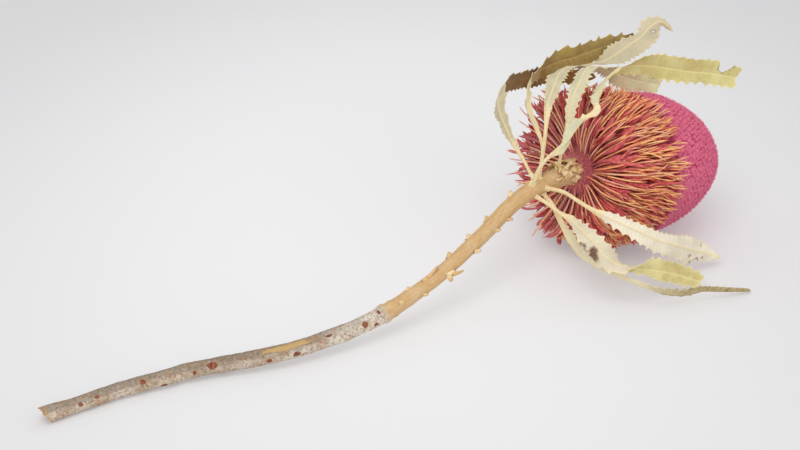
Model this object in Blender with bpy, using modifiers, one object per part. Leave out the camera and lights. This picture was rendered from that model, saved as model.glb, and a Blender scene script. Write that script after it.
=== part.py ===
"""A dried banksia flower, lying as it was cut: a bent woody stem, eight toothed leaves,
a skirt of open florets and a dome of closed buds.

Lengths are in millimetres and angles in degrees until MM and radians() turn them round.
+X runs from the cut end of the stem to the flower head and +Z is up from the table.
"""

import math
import random

import bmesh
import bpy
import numpy as np
from mathutils import Vector
from mathutils.bvhtree import BVHTree
from mathutils.geometry import delaunay_2d_cdt

MM = 0.001
PLACE = Vector((29.2, 73.0, 0.0))

# The flower head: the middle of its base, where its axis points, and how far it dips.
HEAD_BASE = Vector((60.9, -64.3, 44.3))
HEAD_TURN = 2.3
HEAD_DIP = 12.2

# The woody core that carries the open florets.
CORE_START = 0.3
CORE_END = 30.6
CORE_RADIUS = 15.5
CORE_FLARE = 9.5
CORE_EASE = 4.5
CORE_SIDES = 26
CORE_STATIONS = (1.5, 3.0, 5.0, 7.5, 11.0, 16.0)

# The open florets stand along curved lines that fan from back to front: how far along the
# axis and how far out from it the rearmost and the foremost line reach in three steps.
ZONE_START = 2.0
ZONE_END = 29.0
FAN_BACK = ((1.0, 30.0), (-3.0, 42.0), (-8.0, 45.0))
FAN_FRONT = ((30.0, 30.0), (33.0, 40.0), (41.0, 37.5))
# On the side that faces up and forward the rear florets arch towards the dome instead, and
# underneath the rearmost ones are shorter.
NEAR_ANGLE = -62.0
NEAR_BACK = ((0.5, 25.0), (7.0, 40.0), (21.0, 42.5))
NEAR_FRONT = ((29.0, 27.0), (31.0, 38.0), (38.5, 37.5))
LOW_TRIM = 6.5
BAND_PITCH = 6.5
BAND_WIDTH = 2.8
BAND_HEIGHT = 2.0
BAND_GAP = 0.45
BAND_FIRST = 5.6
BAND_TURNS = 3.3
STRAPS = 92
STRAP_WIDTH = 3.0
STRAP_THICK = 0.8
STRAP_WIDTHS = (0.38, 0.5, 0.42)
STRAP_REACH = (0.757, 0.86)
STRAP_SWAY = 9.0
STYLES = 178
STYLE_RADIUS = 0.55
STYLE_TURNS = 4.2
STYLE_SINK = 1.2
STYLE_SWAY = 12.0
STYLE_REACH = (0.92, 1.0)
FLORET_CLEAR = 0.75

# The dome of closed buds.
DOME_RADIUS = 33.0
DOME_WIDEST = 43.5
DOME_TIP = 84.8
DOME_RIM = 36.0
DOME_RIM_RADIUS = 32.0
DOME_BACK = 30.9
DOME_BACK_RADIUS = 16.2
DOME_SAG = 0.042
BUDS = 500
BUD_HEIGHT = 1.4
RIM_SIDES = 50
FLAT_BELOW = 1.75

# Middle line of the stem from the cut end to the head: x, y, z, radius.
STEM_LINE = [
    (-212.4, -64.3, 3.2, 3.1),
    (-175.0, -66.6, 4.0, 3.5),
    (-143.9, -70.9, 4.9, 3.7),
    (-105.1, -81.5, 7.0, 3.9),
    (-61.7, -84.4, 12.0, 4.0),
    (-33.2, -82.8, 18.0, 3.7),
    (-1.1, -75.4, 28.0, 4.2),
    (26.9, -67.0, 37.5, 4.7),
    (43.2, -64.0, 41.8, 5.1),
    (52.6, -64.2, 43.9, 5.3),
]
NECK_RADIUS = 5.4
NECK_PLAIN = 7.0
STEM_SIDES = 10
STEM_RINGS = 52
STEM_RING_AT = 154.0
STEM_RING_HEIGHT = 0.7
STEM_RING_LENGTH = 3.0
OLD_WOOD_ROUGH = 0.05
YOUNG_WOOD_ROUGH = 0.03
CUT_SLANT = 0.55

# What stands out of the stem: nubs, a forked spur and the scales at the neck.
STEM_NUBS = 13
NUBS_FROM = 12.0
NUB_SPACING = 8.2
NUB_HEIGHT = (1.4, 2.3)
NUB_LEAN = 2.6
NUB_SINK = 1.6
NUB_RADIUS = 1.9
SPUR_AT = 207.0
SPUR_CLEAR = 7.0
SPUR_WAY = (0.35, -0.9, -0.25)
SPUR_LENGTH = 2.6
SPUR_RADII = (2.4, 2.2, 1.7)
PRONG_LEANS = (-3.2, 2.9)
PRONG_LENGTH = 3.4
PRONG_RADIUS = 1.3
SCALES = 9
SCALE_ROOT = (-9.0, -7.0)
SCALE_ROOT_OUT = 3.4
SCALE_TIP = (-2.8, -1.6)
SCALE_TIP_OUT = 7.4
SCALE_RADIUS = 2.1

# Each leaf by stations along its midrib: distance along the head's axis from its base,
# distance from that axis, angle round it from the top, width of the left and of the right
# half, twist.
# With no twist the pale underside faces away from the head.
LEAF_THICK = 0.8
LEAF_STATIONS = 25
LEAF_TOOTH = 0.42
LEAF_FOLD = 0.16
SEAT_STEPS = 900
SEAT_FROM = 24
SEAT_GAP = 0.38
LEAVES = {
    "leaf_1": [
        (-17, 11, 126, 0.9, 0.9, -10), (-22, 13, 86, 0.9, 0.9, -10), (-26, 19, 67, 1.6, 1.4, -5),
        (-29, 26, 58, 4.0, 2.6, 0), (-30, 34, 55, 6.0, 4.5, -5), (-27, 42, 57, 6.3, 5.8, -5),
        (-21, 50, 59, 5.6, 5.6, -10), (-13, 56, 61, 5.6, 5.6, -10), (-3, 60, 63, 5.6, 5.6, -15),
        (9, 63, 65, 5.4, 5.4, -20), (21, 65, 65, 5.2, 5.2, -20), (32, 64, 65, 4.6, 4.6, -25),
        (43, 62, 65, 3.6, 3.6, -25), (51, 61, 64, 1.2, 1.2, -25),
    ],
    "leaf_2": [
        (-16, 6, 62, 0.9, 0.9, 5), (-20, 16, 26, 0.9, 0.9, 10), (-23, 25, 28, 2.2, 2.2, -5),
        (-23, 32, 33, 2.0, 2.0, -15), (-19, 39, 39, 3.4, 3.4, -20), (-12, 47, 45, 2.8, 3.6, -25),
        (-2, 54, 48, 5.2, 5.6, -30), (11, 59, 48, 6.6, 6.6, -45), (27, 62, 47, 6.4, 6.4, -50),
        (44, 66, 46, 5.4, 5.4, -55), (59, 69, 45, 3.6, 3.6, -55), (71, 71, 45, 1.0, 1.0, -60),
    ],
    "leaf_3": [
        (-17, 4, 46, 0.9, 0.9, 25), (-23, 15, 4, 0.9, 0.9, 35), (-24, 25, 4, 0.9, 1.1, 30),
        (-22, 33, 10, 1.9, 2.4, 25), (-17, 40, 15, 3.9, 3.6, 20), (-10, 46, 21, 5.6, 3.6, 15),
        (1, 50.5, 29, 4.6, 3.6, 10), (14, 52, 35, 4.4, 4.4, 5), (26, 54, 39, 4.2, 4.2, 10),
        (37, 56, 40, 5.0, 5.0, 40), (45, 59, 38, 6.6, 6.4, 55), (54, 63, 38, 6.0, 6.8, 60),
        (62, 67, 36, 3.4, 7.2, 60), (69, 72, 35, 5.2, 6.4, 65), (75, 74, 34, 2.4, 2.6, 100),
        (82, 69, 34, 0.8, 0.8, 130),
    ],
    "leaf_4": [
        (-8, 3, 2, 0.9, 0.9, 40), (-15, 17, -12, 0.9, 0.9, 40), (-17, 29, -11, 1.7, 2.8, 30),
        (-17, 35, -7, 2.3, 3.2, 25), (-15, 42, -4, 3.8, 4.1, 10), (-9, 47, 2, 4.6, 3.8, -5),
        (1, 50, 11, 4.4, 4.2, -10), (13, 50, 19, 4.0, 4.2, -10), (26, 49, 27, 4.2, 4.0, -20),
        (41, 47, 35, 6.4, 4.0, -30), (59, 45, 42, 6.0, 5.4, -35), (74, 43, 44, 5.0, 5.0, -35),
    ],
    "leaf_5": [
        (-22, 3, -158, 1.0, 1.0, 40), (-26, 11, -30, 0.9, 0.9, 50), (-25, 19, -32, 0.9, 2.2, 30),
        (-23, 26, -32, 3.0, 2.0, 30), (-21, 35, -29, 5.2, 1.2, 20), (-20, 41, -28, 3.0, 1.2, 0),
        (-17, 45, -27, 1.2, 2.4, -15), (-14, 48, -22, 3.4, 1.2, -25), (-8, 51, -15, 6.2, 1.2, -45),
        (4, 52, -5, 4.2, 1.2, -55), (19, 52, 4, 4.4, 2.4, -60), (33, 52, 6, 5.4, 7.2, -70),
        (46, 51, 4, 6.6, 7.0, -80), (58, 50, 0, 6.0, 7.4, -85), (70, 50, -4, 6.0, 7.6, -90),
        (85, 50, -11, 5.6, 6.5, -95),
    ],
    "leaf_6": [
        (-14, 5, -155, 0.9, 0.9, -15), (-15, 12, -116, 0.9, 0.9, -15), (-15, 22, -103, 0.9, 0.9, -20),
        (-13, 32, -100, 1.0, 1.4, -20), (-9, 41, -99, 3.0, 3.2, -25), (-1, 50, -100, 3.6, 4.6, -25),
        (10, 56, -103, 4.0, 5.9, -30), (23, 57, -107, 5.0, 6.3, -35), (37, 57, -112, 6.2, 7.4, -35),
        (49, 57, -116, 4.0, 4.2, -45), (58, 59, -118, 0.8, 0.8, -45),
    ],
    "leaf_7": [
        (-20, 13, -178, 0.9, 0.9, -10), (-21, 15, -143, 0.9, 0.9, -10), (-22, 23, -121, 1.0, 1.0, -15),
        (-22, 30, -113, 2.2, 1.8, -30), (-22, 38, -110, 3.6, 4.0, -35), (-20, 47, -110, 4.6, 5.4, -35),
        (-16, 54, -113, 5.6, 5.5, -45), (-11, 58, -114, 5.0, 4.6, -75), (-5, 60, -114, 3.6, 5.2, -145),
        (3, 62, -115, 2.4, 6.6, -195), (12, 64, -115, 4.6, 6.2, -210), (23, 67, -116, 4.6, 5.6, -215),
        (36, 72, -117, 3.0, 4.0, -215),
    ],
    "leaf_8": [
        (-15, 10, 174, 1.0, 1.0, -20), (-15, 15, -160, 1.0, 1.0, -15), (-17, 24, -140, 1.8, 1.2, -10),
        (-18, 35, -132, 4.2, 1.4, -5), (-18, 44, -127, 5.0, 1.4, 5), (-15, 52, -124, 5.0, 1.4, 15),
        (-9, 59, -121, 4.6, 1.4, 20), (-3, 65, -119, 4.4, 1.8, 30), (6, 72, -118, 4.4, 3.4, 40),
        (18, 77, -117, 4.4, 4.2, 50), (29, 79, -114, 3.4, 3.0, 45), (41, 82, -113, 2.2, 2.0, 40),
        (54, 85, -112, 0.8, 0.8, 40),
    ],
}
LEAF_GREEN = ("leaf_1", "leaf_2", "leaf_5")

COLOURS = {
    "stem_wood": ((0.50, 0.36, 0.24), 0.85),
    "style_orange": ((0.80, 0.38, 0.16), 0.55),
    "perianth_rose": ((0.42, 0.07, 0.10), 0.75),
    "bud_magenta": ((0.56, 0.10, 0.22), 0.9),
    "leaf_pale": ((0.70, 0.65, 0.46), 0.7),
    "leaf_olive": ((0.45, 0.40, 0.18), 0.7),
}


def head_frame():
    """The head's axis, its sideways direction and its own up direction, as unit vectors."""
    turn = math.radians(HEAD_TURN)
    dip = math.radians(HEAD_DIP)
    axis = Vector((math.cos(dip) * math.cos(turn), math.cos(dip) * math.sin(turn), -math.sin(dip)))
    side = Vector((-math.sin(turn), math.cos(turn), 0.0))
    return axis, side, axis.cross(side)


AXIS, SIDE, UP = head_frame()


def head_point(along, out, angle):
    """A point given along the head's axis, out from it and round it from the top."""
    a = math.radians(angle)
    return HEAD_BASE + AXIS * along + (UP * math.cos(a) + SIDE * math.sin(a)) * out


def round_direction(angle):
    """The direction in which the angle round the head grows."""
    a = math.radians(angle)
    return SIDE * math.cos(a) - UP * math.sin(a)


def clear_scene():
    for thing in list(bpy.data.objects):
        bpy.data.objects.remove(thing)


def make_material(name):
    colour, roughness = COLOURS[name]
    material = bpy.data.materials.new(name)
    material.use_nodes = True
    shader = material.node_tree.nodes["Principled BSDF"]
    shader.inputs["Base Color"].default_value = (*colour, 1.0)
    shader.inputs["Roughness"].default_value = roughness
    return material


def make_object(name, points, faces, material, collection=None):
    """A mesh object from points in millimetres, with its faces turned outward."""
    mesh = bpy.data.meshes.new(name)
    mesh.from_pydata([(Vector(p) + PLACE) * MM for p in points], [], faces)
    work = bmesh.new()
    work.from_mesh(mesh)
    bmesh.ops.recalc_face_normals(work, faces=work.faces)
    work.to_mesh(mesh)
    work.free()
    mesh.materials.append(material)
    thing = bpy.data.objects.new(name, mesh)
    if collection:
        collection.objects.link(thing)
    return thing


def smooth_line(rows, count):
    """Rows of numbers, the first three a place, evened out along a curve through them."""
    rows = np.array(rows, float)
    steps = np.linalg.norm(np.diff(rows[:, :3], axis=0), axis=1)
    reach = np.concatenate([[0.0], np.cumsum(steps)])
    slopes = np.gradient(rows, reach, axis=0)
    result = []
    for where in np.linspace(0.0, reach[-1], count):
        i = min(int(np.searchsorted(reach, where, side="right")) - 1, len(rows) - 2)
        span = reach[i + 1] - reach[i]
        u = (where - reach[i]) / span
        result.append(
            (2 * u**3 - 3 * u**2 + 1) * rows[i]
            + (u**3 - 2 * u**2 + u) * span * slopes[i]
            + (3 * u**2 - 2 * u**3) * rows[i + 1]
            + (u**3 - u**2) * span * slopes[i + 1]
        )
    return np.array(result)


def directions(points):
    """Unit directions along a line of points."""
    return [Vector(d).normalized() for d in np.gradient(np.array(points, float), axis=0)]


def tube(points, radii, sides, tip=False):
    """Points and faces of a closed tube, each ring turned along with the line."""
    along = directions(points)
    across = along[0].orthogonal().normalized()
    verts = []
    for i, (point, way) in enumerate(zip(points, along)):
        across = (across - way * across.dot(way)).normalized()
        other = way.cross(across)
        for k in range(sides):
            a = 2 * math.pi * k / sides
            r = radii[i][k] if hasattr(radii[i], "__len__") else radii[i]
            verts.append(Vector(point) + (across * math.cos(a) + other * math.sin(a)) * r)
    rings = len(points)
    faces = []
    for i in range(rings - 1):
        for k in range(sides):
            n = (k + 1) % sides
            faces.append((i * sides + k, i * sides + n, (i + 1) * sides + n, (i + 1) * sides + k))
    faces.append(tuple(range(sides))[::-1])
    last = (rings - 1) * sides
    if tip:
        verts.append(Vector(tip))
        for k in range(sides):
            faces.append((last + k, last + (k + 1) % sides, len(verts) - 1))
    else:
        faces.append(tuple(range(last, last + sides)))
    return verts, faces


def spike(root, tip, radius, sides=5):
    """A small cone from its root to its tip."""
    return tube([root, root.lerp(tip, 0.5)], [radius, radius * 0.7], sides, tip=tip)


def keep_body(mesh):
    """Keeps the one main body: loose scraps go, and hollows sealed inside it are filled."""
    work = bmesh.new()
    work.from_mesh(mesh)
    bmesh.ops.triangulate(work, faces=work.faces)
    unseen = set(work.faces)
    bodies = []
    while unseen:
        stack = [unseen.pop()]
        body = []
        while stack:
            face = stack.pop()
            body.append(face)
            for edge in face.edges:
                for other in edge.link_faces:
                    if other in unseen:
                        unseen.discard(other)
                        stack.append(other)
        bodies.append(body)
    bodies.sort(key=len, reverse=True)
    for body in bodies[1:]:
        bmesh.ops.delete(work, geom=body, context="FACES")
    loose = [v for v in work.verts if not v.link_faces]
    bmesh.ops.delete(work, geom=loose, context="VERTS")
    work.to_mesh(mesh)
    work.free()


def fuse(body, pieces):
    """Joins the pieces to the body as one closed solid."""
    group = bpy.data.collections.new("pieces of " + body.name)
    for piece in pieces:
        group.objects.link(piece)
    join = body.modifiers.new("join", "BOOLEAN")
    join.operation = "UNION"
    join.operand_type = "COLLECTION"
    join.collection = group
    join.solver = "MANIFOLD"
    graph = bpy.context.evaluated_depsgraph_get()
    mesh = bpy.data.meshes.new_from_object(body.evaluated_get(graph))
    body.modifiers.remove(join)
    body.data = mesh
    for piece in pieces:
        bpy.data.objects.remove(piece)
    bpy.data.collections.remove(group)
    keep_body(mesh)
    return body


def stem_line():
    """The stem's middle line as points, radii and running length, ending at the head's base."""
    line = smooth_line([*STEM_LINE, (*HEAD_BASE, NECK_RADIUS)], STEM_RINGS)
    steps = np.linalg.norm(np.diff(line[:, :3], axis=0), axis=1)
    return line[:, :3], line[:, 3], np.concatenate([[0.0], np.cumsum(steps)])


def stem_place(reach):
    """A point on the stem's middle line, its direction and the radius there."""
    points, radii, run = stem_line()
    i = int(np.searchsorted(run, reach))
    way = Vector(points[i] - points[i - 1]).normalized()
    return Vector(points[i]), way, radii[i]


def stem_shape(rng):
    """Points and faces of the bare stem: knotty round its old wood, slanted at the cut end."""
    points, radii, run = stem_line()
    rings = []
    for where, radius in zip(run, radii):
        rough = OLD_WOOD_ROUGH if where < STEM_RING_AT else YOUNG_WOOD_ROUGH
        if where > run[-1] - NECK_PLAIN:
            rough = 0.0
        collar = STEM_RING_HEIGHT * math.exp(-(((where - STEM_RING_AT) / STEM_RING_LENGTH) ** 2))
        rings.append([radius * (1 + rng.uniform(-rough, rough)) + collar for _ in range(STEM_SIDES)])
    verts, faces = tube(points, rings, STEM_SIDES)
    for vert in verts[:STEM_SIDES]:
        vert.x += (vert.z - points[0][2]) * CUT_SLANT
    for vert in verts:
        vert.z = max(vert.z, 0.0)
    for vert in verts[-STEM_SIDES:]:
        vert -= AXIS * (vert - HEAD_BASE).dot(AXIS)
    return verts, faces


def stem_nubs(rng):
    """The nubs where side shoots and old leaves broke off the young wood."""
    nubs = []
    for i in range(STEM_NUBS):
        reach = STEM_RING_AT + NUBS_FROM + i * NUB_SPACING + rng.uniform(-2, 2)
        if abs(reach - SPUR_AT) < SPUR_CLEAR:
            continue
        place, way, radius = stem_place(reach)
        turn = math.radians(i * 137.5 + 40)
        level = way.orthogonal().normalized()
        out = level * math.cos(turn) + way.cross(level) * math.sin(turn)
        tip = place + out * (radius + rng.uniform(*NUB_HEIGHT)) + way * NUB_LEAN
        nubs.append(spike(place + out * (radius - NUB_SINK), tip, NUB_RADIUS))
    return nubs


def stem_spur():
    """The short broken side shoot with its two prongs."""
    place, way, radius = stem_place(SPUR_AT)
    out = Vector(SPUR_WAY).normalized()
    knot = place + out * (radius + SPUR_LENGTH)
    foot, middle, head = SPUR_RADII
    shoot = [tube([place, place + out * radius, knot], [foot, middle, head], 6)]
    for lean in PRONG_LEANS:
        shoot.append(spike(knot - out * 1.5, knot + out * PRONG_LENGTH + way * lean, PRONG_RADIUS))
    return shoot


def neck_scales(rng):
    """The small scales that close round the neck under the flower head."""
    scales = []
    for i in range(SCALES):
        angle = 360 / SCALES * i + rng.uniform(-8, 8)
        root = head_point(rng.uniform(*SCALE_ROOT), SCALE_ROOT_OUT, angle)
        tip = head_point(rng.uniform(*SCALE_TIP), SCALE_TIP_OUT, angle + 6)
        scales.append(spike(root, tip, SCALE_RADIUS))
    return scales


def build_stem(material, collection):
    """The stem as one piece with its ring, side nubs, broken spur and the scales at its neck."""
    rng = random.Random(11)
    stem = make_object("stem", *stem_shape(rng), material, collection)
    shapes = stem_nubs(rng) + stem_spur() + neck_scales(rng)
    return fuse(stem, [make_object("nub", *shape, material) for shape in shapes])


def core_radius(along):
    """Radius of the woody core, which widens from its base in an even curve."""
    return CORE_RADIUS - CORE_FLARE * math.exp(-along / CORE_EASE)


def nearness(angle):
    """1 on the side of the head that faces up and forward, 0 on the far side."""
    share = min(1.0, max(0.0, 0.5 + 0.75 * math.cos(math.radians(angle - NEAR_ANGLE))))
    return share * share * (3 - 2 * share)


def fan_knots(level, angle):
    """The guide points of a floret's line beyond its root, for its level and its angle."""
    near = nearness(angle)
    trim = LOW_TRIM * (1 - level) * max(0.0, -math.cos(math.radians(angle))) ** 2
    knots = []
    for share, guides in zip((0.2, 0.7, 1.0), zip(FAN_BACK, FAN_FRONT, NEAR_BACK, NEAR_FRONT)):
        knot = []
        for back, front, near_back, near_front in zip(*guides):
            far_side = back + (front - back) * level
            near_side = near_back + (near_front - near_back) * level
            knot.append(far_side + (near_side - far_side) * near)
        knots.append((knot[0], knot[1] - trim * share))
    return knots


def fan_line(level, angle, sway, root, reach, count):
    """A line that fans out from the core, for a level between 0 at the back and 1 in front."""
    foot = (ZONE_START + (ZONE_END - ZONE_START) * level, root)
    line = []
    for i in range(count):
        s = reach * i / (count - 1)
        turn = angle + sway * s * s
        knots = [foot, *fan_knots(level, turn)]
        weights = ((1 - s) ** 3, 3 * s * (1 - s) ** 2, 3 * s * s * (1 - s), s**3)
        along = sum(w * k[0] for w, k in zip(weights, knots))
        out = sum(w * k[1] for w, k in zip(weights, knots))
        line.append([along, out, turn])
    for _ in range(len(line)):
        lowest = min(range(count), key=lambda i: head_point(*line[i]).z)
        along, out, turn = line[lowest]
        under = head_point(along, out, turn).z - FLORET_CLEAR
        if under > 0 or lowest == 0:
            break
        drop = (head_point(along, root, turn).z - head_point(along, out, turn).z) / (out - root)
        share = (out - root + under / drop) / (out - root)
        for row in line:
            row[1] = root + (row[1] - root) * share
    return line


def build_styles(material, collection):
    """The woody core with the orange styles that stand between the turns of the band."""
    rng = random.Random(5)
    stations = [CORE_START, *CORE_STATIONS, CORE_END]
    points = []
    for along in stations:
        for k in range(CORE_SIDES):
            points.append(head_point(along, core_radius(along), 360 * k / CORE_SIDES))
    faces = []
    for i in range(len(stations) - 1):
        for k in range(CORE_SIDES):
            n = (k + 1) % CORE_SIDES
            ring = i * CORE_SIDES
            faces.append((ring + k, ring + n, ring + CORE_SIDES + n, ring + CORE_SIDES + k))
    faces.append(tuple(range(CORE_SIDES)))
    faces.append(tuple(range(len(points) - CORE_SIDES, len(points))))
    core = make_object("rachis_and_styles", points, faces, material, collection)
    pieces = []
    for i in range(STYLES):
        lap = STYLE_TURNS * (i + 0.5) / STYLES
        along = BAND_FIRST + BAND_PITCH * (lap - 0.5)
        if not ZONE_START < along < ZONE_END:
            continue
        level = (along - ZONE_START) / (ZONE_END - ZONE_START)
        root = core_radius(along) - STYLE_SINK
        sway = rng.uniform(-STYLE_SWAY, STYLE_SWAY)
        reach = rng.uniform(*STYLE_REACH)
        line = [head_point(*row) for row in fan_line(level, 360 * lap, sway, root, reach, 4)]
        thick = [STYLE_RADIUS * 1.15, STYLE_RADIUS, STYLE_RADIUS]
        pieces.append(make_object("style", *tube(line[:3], thick, 3, tip=line[3]), material))
    return fuse(core, pieces)


def build_perianths(material, collection):
    """The rose band wound round the core, with the strap-shaped perianths that grow from it."""
    rng = random.Random(10)
    count = int(BAND_TURNS * CORE_SIDES) + 1
    points = []
    for i in range(count):
        lap = i / CORE_SIDES
        along = BAND_FIRST + BAND_PITCH * lap
        for side, height in ((-1, 0), (1, 0), (1, 1), (-1, 1)):
            edge = along + side * BAND_WIDTH / 2
            out = core_radius(edge) + BAND_GAP + height * BAND_HEIGHT
            points.append(head_point(edge, out, 360 * lap))
    faces = [(0, 1, 2, 3)]
    for i in range(count - 1):
        for k in range(4):
            n = (k + 1) % 4
            faces.append((i * 4 + k, i * 4 + n, i * 4 + 4 + n, i * 4 + 4 + k))
    faces.append(tuple(range(count * 4 - 4, count * 4)))
    band = make_object("perianths", points, faces, material, collection)
    pieces = []
    laps = (count - 1) / CORE_SIDES
    for i in range(STRAPS):
        lap = laps * (i + 0.7) / (STRAPS + 0.4)
        along = BAND_FIRST + BAND_PITCH * lap
        level = (along - ZONE_START) / (ZONE_END - ZONE_START)
        root = core_radius(along) + BAND_GAP + BAND_HEIGHT * 0.45
        sway = rng.uniform(-STRAP_SWAY, STRAP_SWAY)
        rows = fan_line(level, 360 * lap, sway, root, rng.uniform(*STRAP_REACH), 4)
        pieces.append(make_object("strap", *strap(rows), material))
    return fuse(band, pieces)


def strap(rows):
    """A flat pointed strap along its line, its width lying round the head."""
    line = [head_point(*row) for row in rows]
    along = directions(line)
    points = []
    for row, point, way, width in zip(rows, line, along, STRAP_WIDTHS):
        across = round_direction(row[2])
        across = (across - way * across.dot(way)).normalized()
        out = way.cross(across)
        half = STRAP_WIDTH * width
        points += [point - across * half, point + out * STRAP_THICK / 2]
        points += [point + across * half, point - out * STRAP_THICK / 2]
    faces = [(3, 2, 1, 0)]
    for i in range(2):
        for k in range(4):
            n = (k + 1) % 4
            faces.append((i * 4 + k, i * 4 + n, i * 4 + 4 + n, i * 4 + 4 + k))
    points.append(line[3])
    for k in range(4):
        faces.append((8 + k, 8 + (k + 1) % 4, 12))
    return points, faces


def dome_outline(count):
    """The dome's outline from its rim to its tip: distance along the axis and radius."""
    rows = []
    for i in range(count):
        s = i / (count - 1)
        along = DOME_RIM + (DOME_TIP - DOME_RIM) * math.sin(s * math.pi / 2)
        if along < DOME_WIDEST:
            back = (DOME_WIDEST - along) / (DOME_WIDEST - DOME_RIM)
            out = DOME_RADIUS - (DOME_RADIUS - DOME_RIM_RADIUS) * back**2
        else:
            front = (along - DOME_WIDEST) / (DOME_TIP - DOME_WIDEST)
            out = DOME_RADIUS * max(0.0, 1 - front**2) ** 0.47
        rows.append((along, out))
    return np.array(rows)


def build_dome(material, collection):
    """The dome, raised into rows of round bud tips by a formula, with a flat face underneath."""
    outline = dome_outline(400)
    steps = np.linalg.norm(np.diff(outline, axis=0), axis=1)
    run = np.concatenate([[0.0], np.cumsum(steps)])
    middle = (outline[1:, 1] + outline[:-1, 1]) / 2
    area = np.concatenate([[0.0], np.cumsum(2 * math.pi * middle * steps)])
    spread = np.concatenate([[0.0], np.cumsum(steps / np.maximum(middle, 0.02))])
    golden = 180 * (3 - math.sqrt(5))
    flat = []
    places = []
    for k in range(RIM_SIDES):
        a = math.radians(360 * k / RIM_SIDES)
        flat.append(Vector((math.cos(a), math.sin(a))))
        places.append((DOME_RIM, DOME_RIM_RADIUS, 360 * k / RIM_SIDES, 0.0))
    first = run[np.searchsorted(run, 2.2)]
    low = area[np.searchsorted(run, first)]
    for i in range(BUDS):
        share = low + (area[-1] - low) * (i + 0.5) / BUDS
        angle = (BUDS - i) * golden
        where = np.interp(share, area, run)
        out = np.interp(where, run, outline[:, 1])
        ring = math.exp(-np.interp(where, run, spread))
        a = math.radians(angle)
        flat.append(Vector((ring * math.cos(a), ring * math.sin(a))))
        places.append((np.interp(where, run, outline[:, 0]), out, angle, 1.0))
    triangles = delaunay_2d_cdt(flat, [], [], 0, 1e-7)[2]
    points = []
    for along, out, angle, raised in places:
        points.append(raise_bud(along, out, angle, raised * BUD_HEIGHT))
    faces = []
    for triangle in triangles:
        corners = list(triangle)
        if min(corners) < RIM_SIDES:
            faces.append(tuple(corners))
            continue
        centre = sum((points[c] for c in corners), Vector()) / 3
        inward = (HEAD_BASE + AXIS * DOME_WIDEST - centre).normalized()
        points.append(centre + inward * BUD_HEIGHT)
        for a, b in zip(corners, corners[1:] + corners[:1]):
            faces.append((a, b, len(points) - 1))
    back = len(points)
    for k in range(RIM_SIDES):
        points.append(head_point(DOME_BACK, DOME_BACK_RADIUS, 360 * k / RIM_SIDES))
    for k in range(RIM_SIDES):
        n = (k + 1) % RIM_SIDES
        faces.append((k, n, back + n, back + k))
    faces.append(tuple(range(back, back + RIM_SIDES)))
    for point in points:
        if point.z < FLAT_BELOW:
            point.z = 0.0
    return make_object("bud_dome", points, faces, material, collection)


def raise_bud(along, out, angle, height):
    """A point of the dome's outline, raised off it. Underneath, the dome sags to the table."""
    sag = DOME_SAG * max(0.0, -math.cos(math.radians(angle))) ** 2
    point = head_point(along, out * (1 + sag), angle)
    centre = HEAD_BASE + AXIS * min(along, DOME_WIDEST)
    return point + (point - centre).normalized() * height


def leaf_rows(stations):
    """Midrib points in place, each with its two half widths, angle round the head and twist."""
    rows = [(*head_point(*station[:3]), *station[3:5], station[2], station[5]) for station in stations]
    points = stem_line()[0]
    nearest = int(np.argmin(np.linalg.norm(points - np.array(rows[0][:3]), axis=1)))
    rows[0] = (*points[nearest - 1], *rows[0][3:])
    return rows


def stand_off(section, under, tree):
    """How far the end of a leaf stands off the stem, over both of its faces."""
    least = 99.0
    for corner in [p + under * side * LEAF_THICK / 2 for p in section for side in (-1, 1)]:
        place = (corner + PLACE) * MM
        nearest, outward, _, away = tree.find_nearest(place)
        least = min(least, math.copysign(away, (place - nearest).dot(outward)) / MM)
    return least


def leaf_section(row, way, left, right, fold):
    """Left edge, midrib and right edge of a leaf at one station, and where its underside faces."""
    place = Vector(row[:3])
    across = round_direction(row[5])
    across = (across - way * across.dot(way)).normalized()
    face = way.cross(across)
    twist = math.radians(row[6])
    under = face * math.cos(twist) + way.cross(face) * math.sin(twist)
    side = way.cross(under)
    return [place - (side + under * fold) * left, place, place + (side - under * fold) * right], under


def build_leaf(name, tree, material, collection):
    """A thin leaf with saw-toothed edges, folded a little along its midrib."""
    rows = smooth_line(leaf_rows(LEAVES[name]), SEAT_STEPS)
    ways = directions(rows[:, :3])
    start = SEAT_FROM
    while stand_off(*leaf_section(rows[start], ways[start], *rows[start][3:5], 0), tree) < SEAT_GAP:
        start += 1
    rows = smooth_line(rows[start:], LEAF_STATIONS)
    ways = directions(rows[:, :3])
    points = []
    for i, (row, way) in enumerate(zip(rows, ways)):
        blade = min(1.0, max(0.0, (row[3] + row[4] - 3.6) / 4))
        tooth = 1 + LEAF_TOOTH * blade * (0.5 if i % 2 else -0.5)
        points += leaf_section(row, way, row[3] * tooth, row[4] * tooth, LEAF_FOLD * blade)[0]
    faces = []
    for i in range(len(rows) - 1):
        for k in range(2):
            a = i * 3 + k
            faces += [(a, a + 1, a + 4), (a, a + 4, a + 3)]
    leaf = make_object(name, points, faces, material, collection)
    thick = leaf.modifiers.new("thickness", "SOLIDIFY")
    thick.thickness = LEAF_THICK * MM
    thick.offset = 0.0
    return leaf


def main():
    clear_scene()
    collection = bpy.data.collections.new("banksia_flower")
    bpy.context.scene.collection.children.link(collection)
    materials = {name: make_material(name) for name in COLOURS}
    stem = build_stem(materials["stem_wood"], collection)
    tree = BVHTree.FromObject(stem, bpy.context.evaluated_depsgraph_get())
    build_styles(materials["style_orange"], collection)
    build_perianths(materials["perianth_rose"], collection)
    build_dome(materials["bud_magenta"], collection)
    for name in LEAVES:
        slot = "leaf_olive" if name in LEAF_GREEN else "leaf_pale"
        build_leaf(name, tree, materials[slot], collection)


main()
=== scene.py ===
"""Dresses the dried banksia flower and sets it on a pale studio floor.

The flower's lengths are in millimetres and its angles in degrees. The places and sizes of the
camera, the lamps and the floor are in metres. +X runs from the cut end of the stem to the
flower head and +Z is up from the table.
"""

import math
import random

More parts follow.
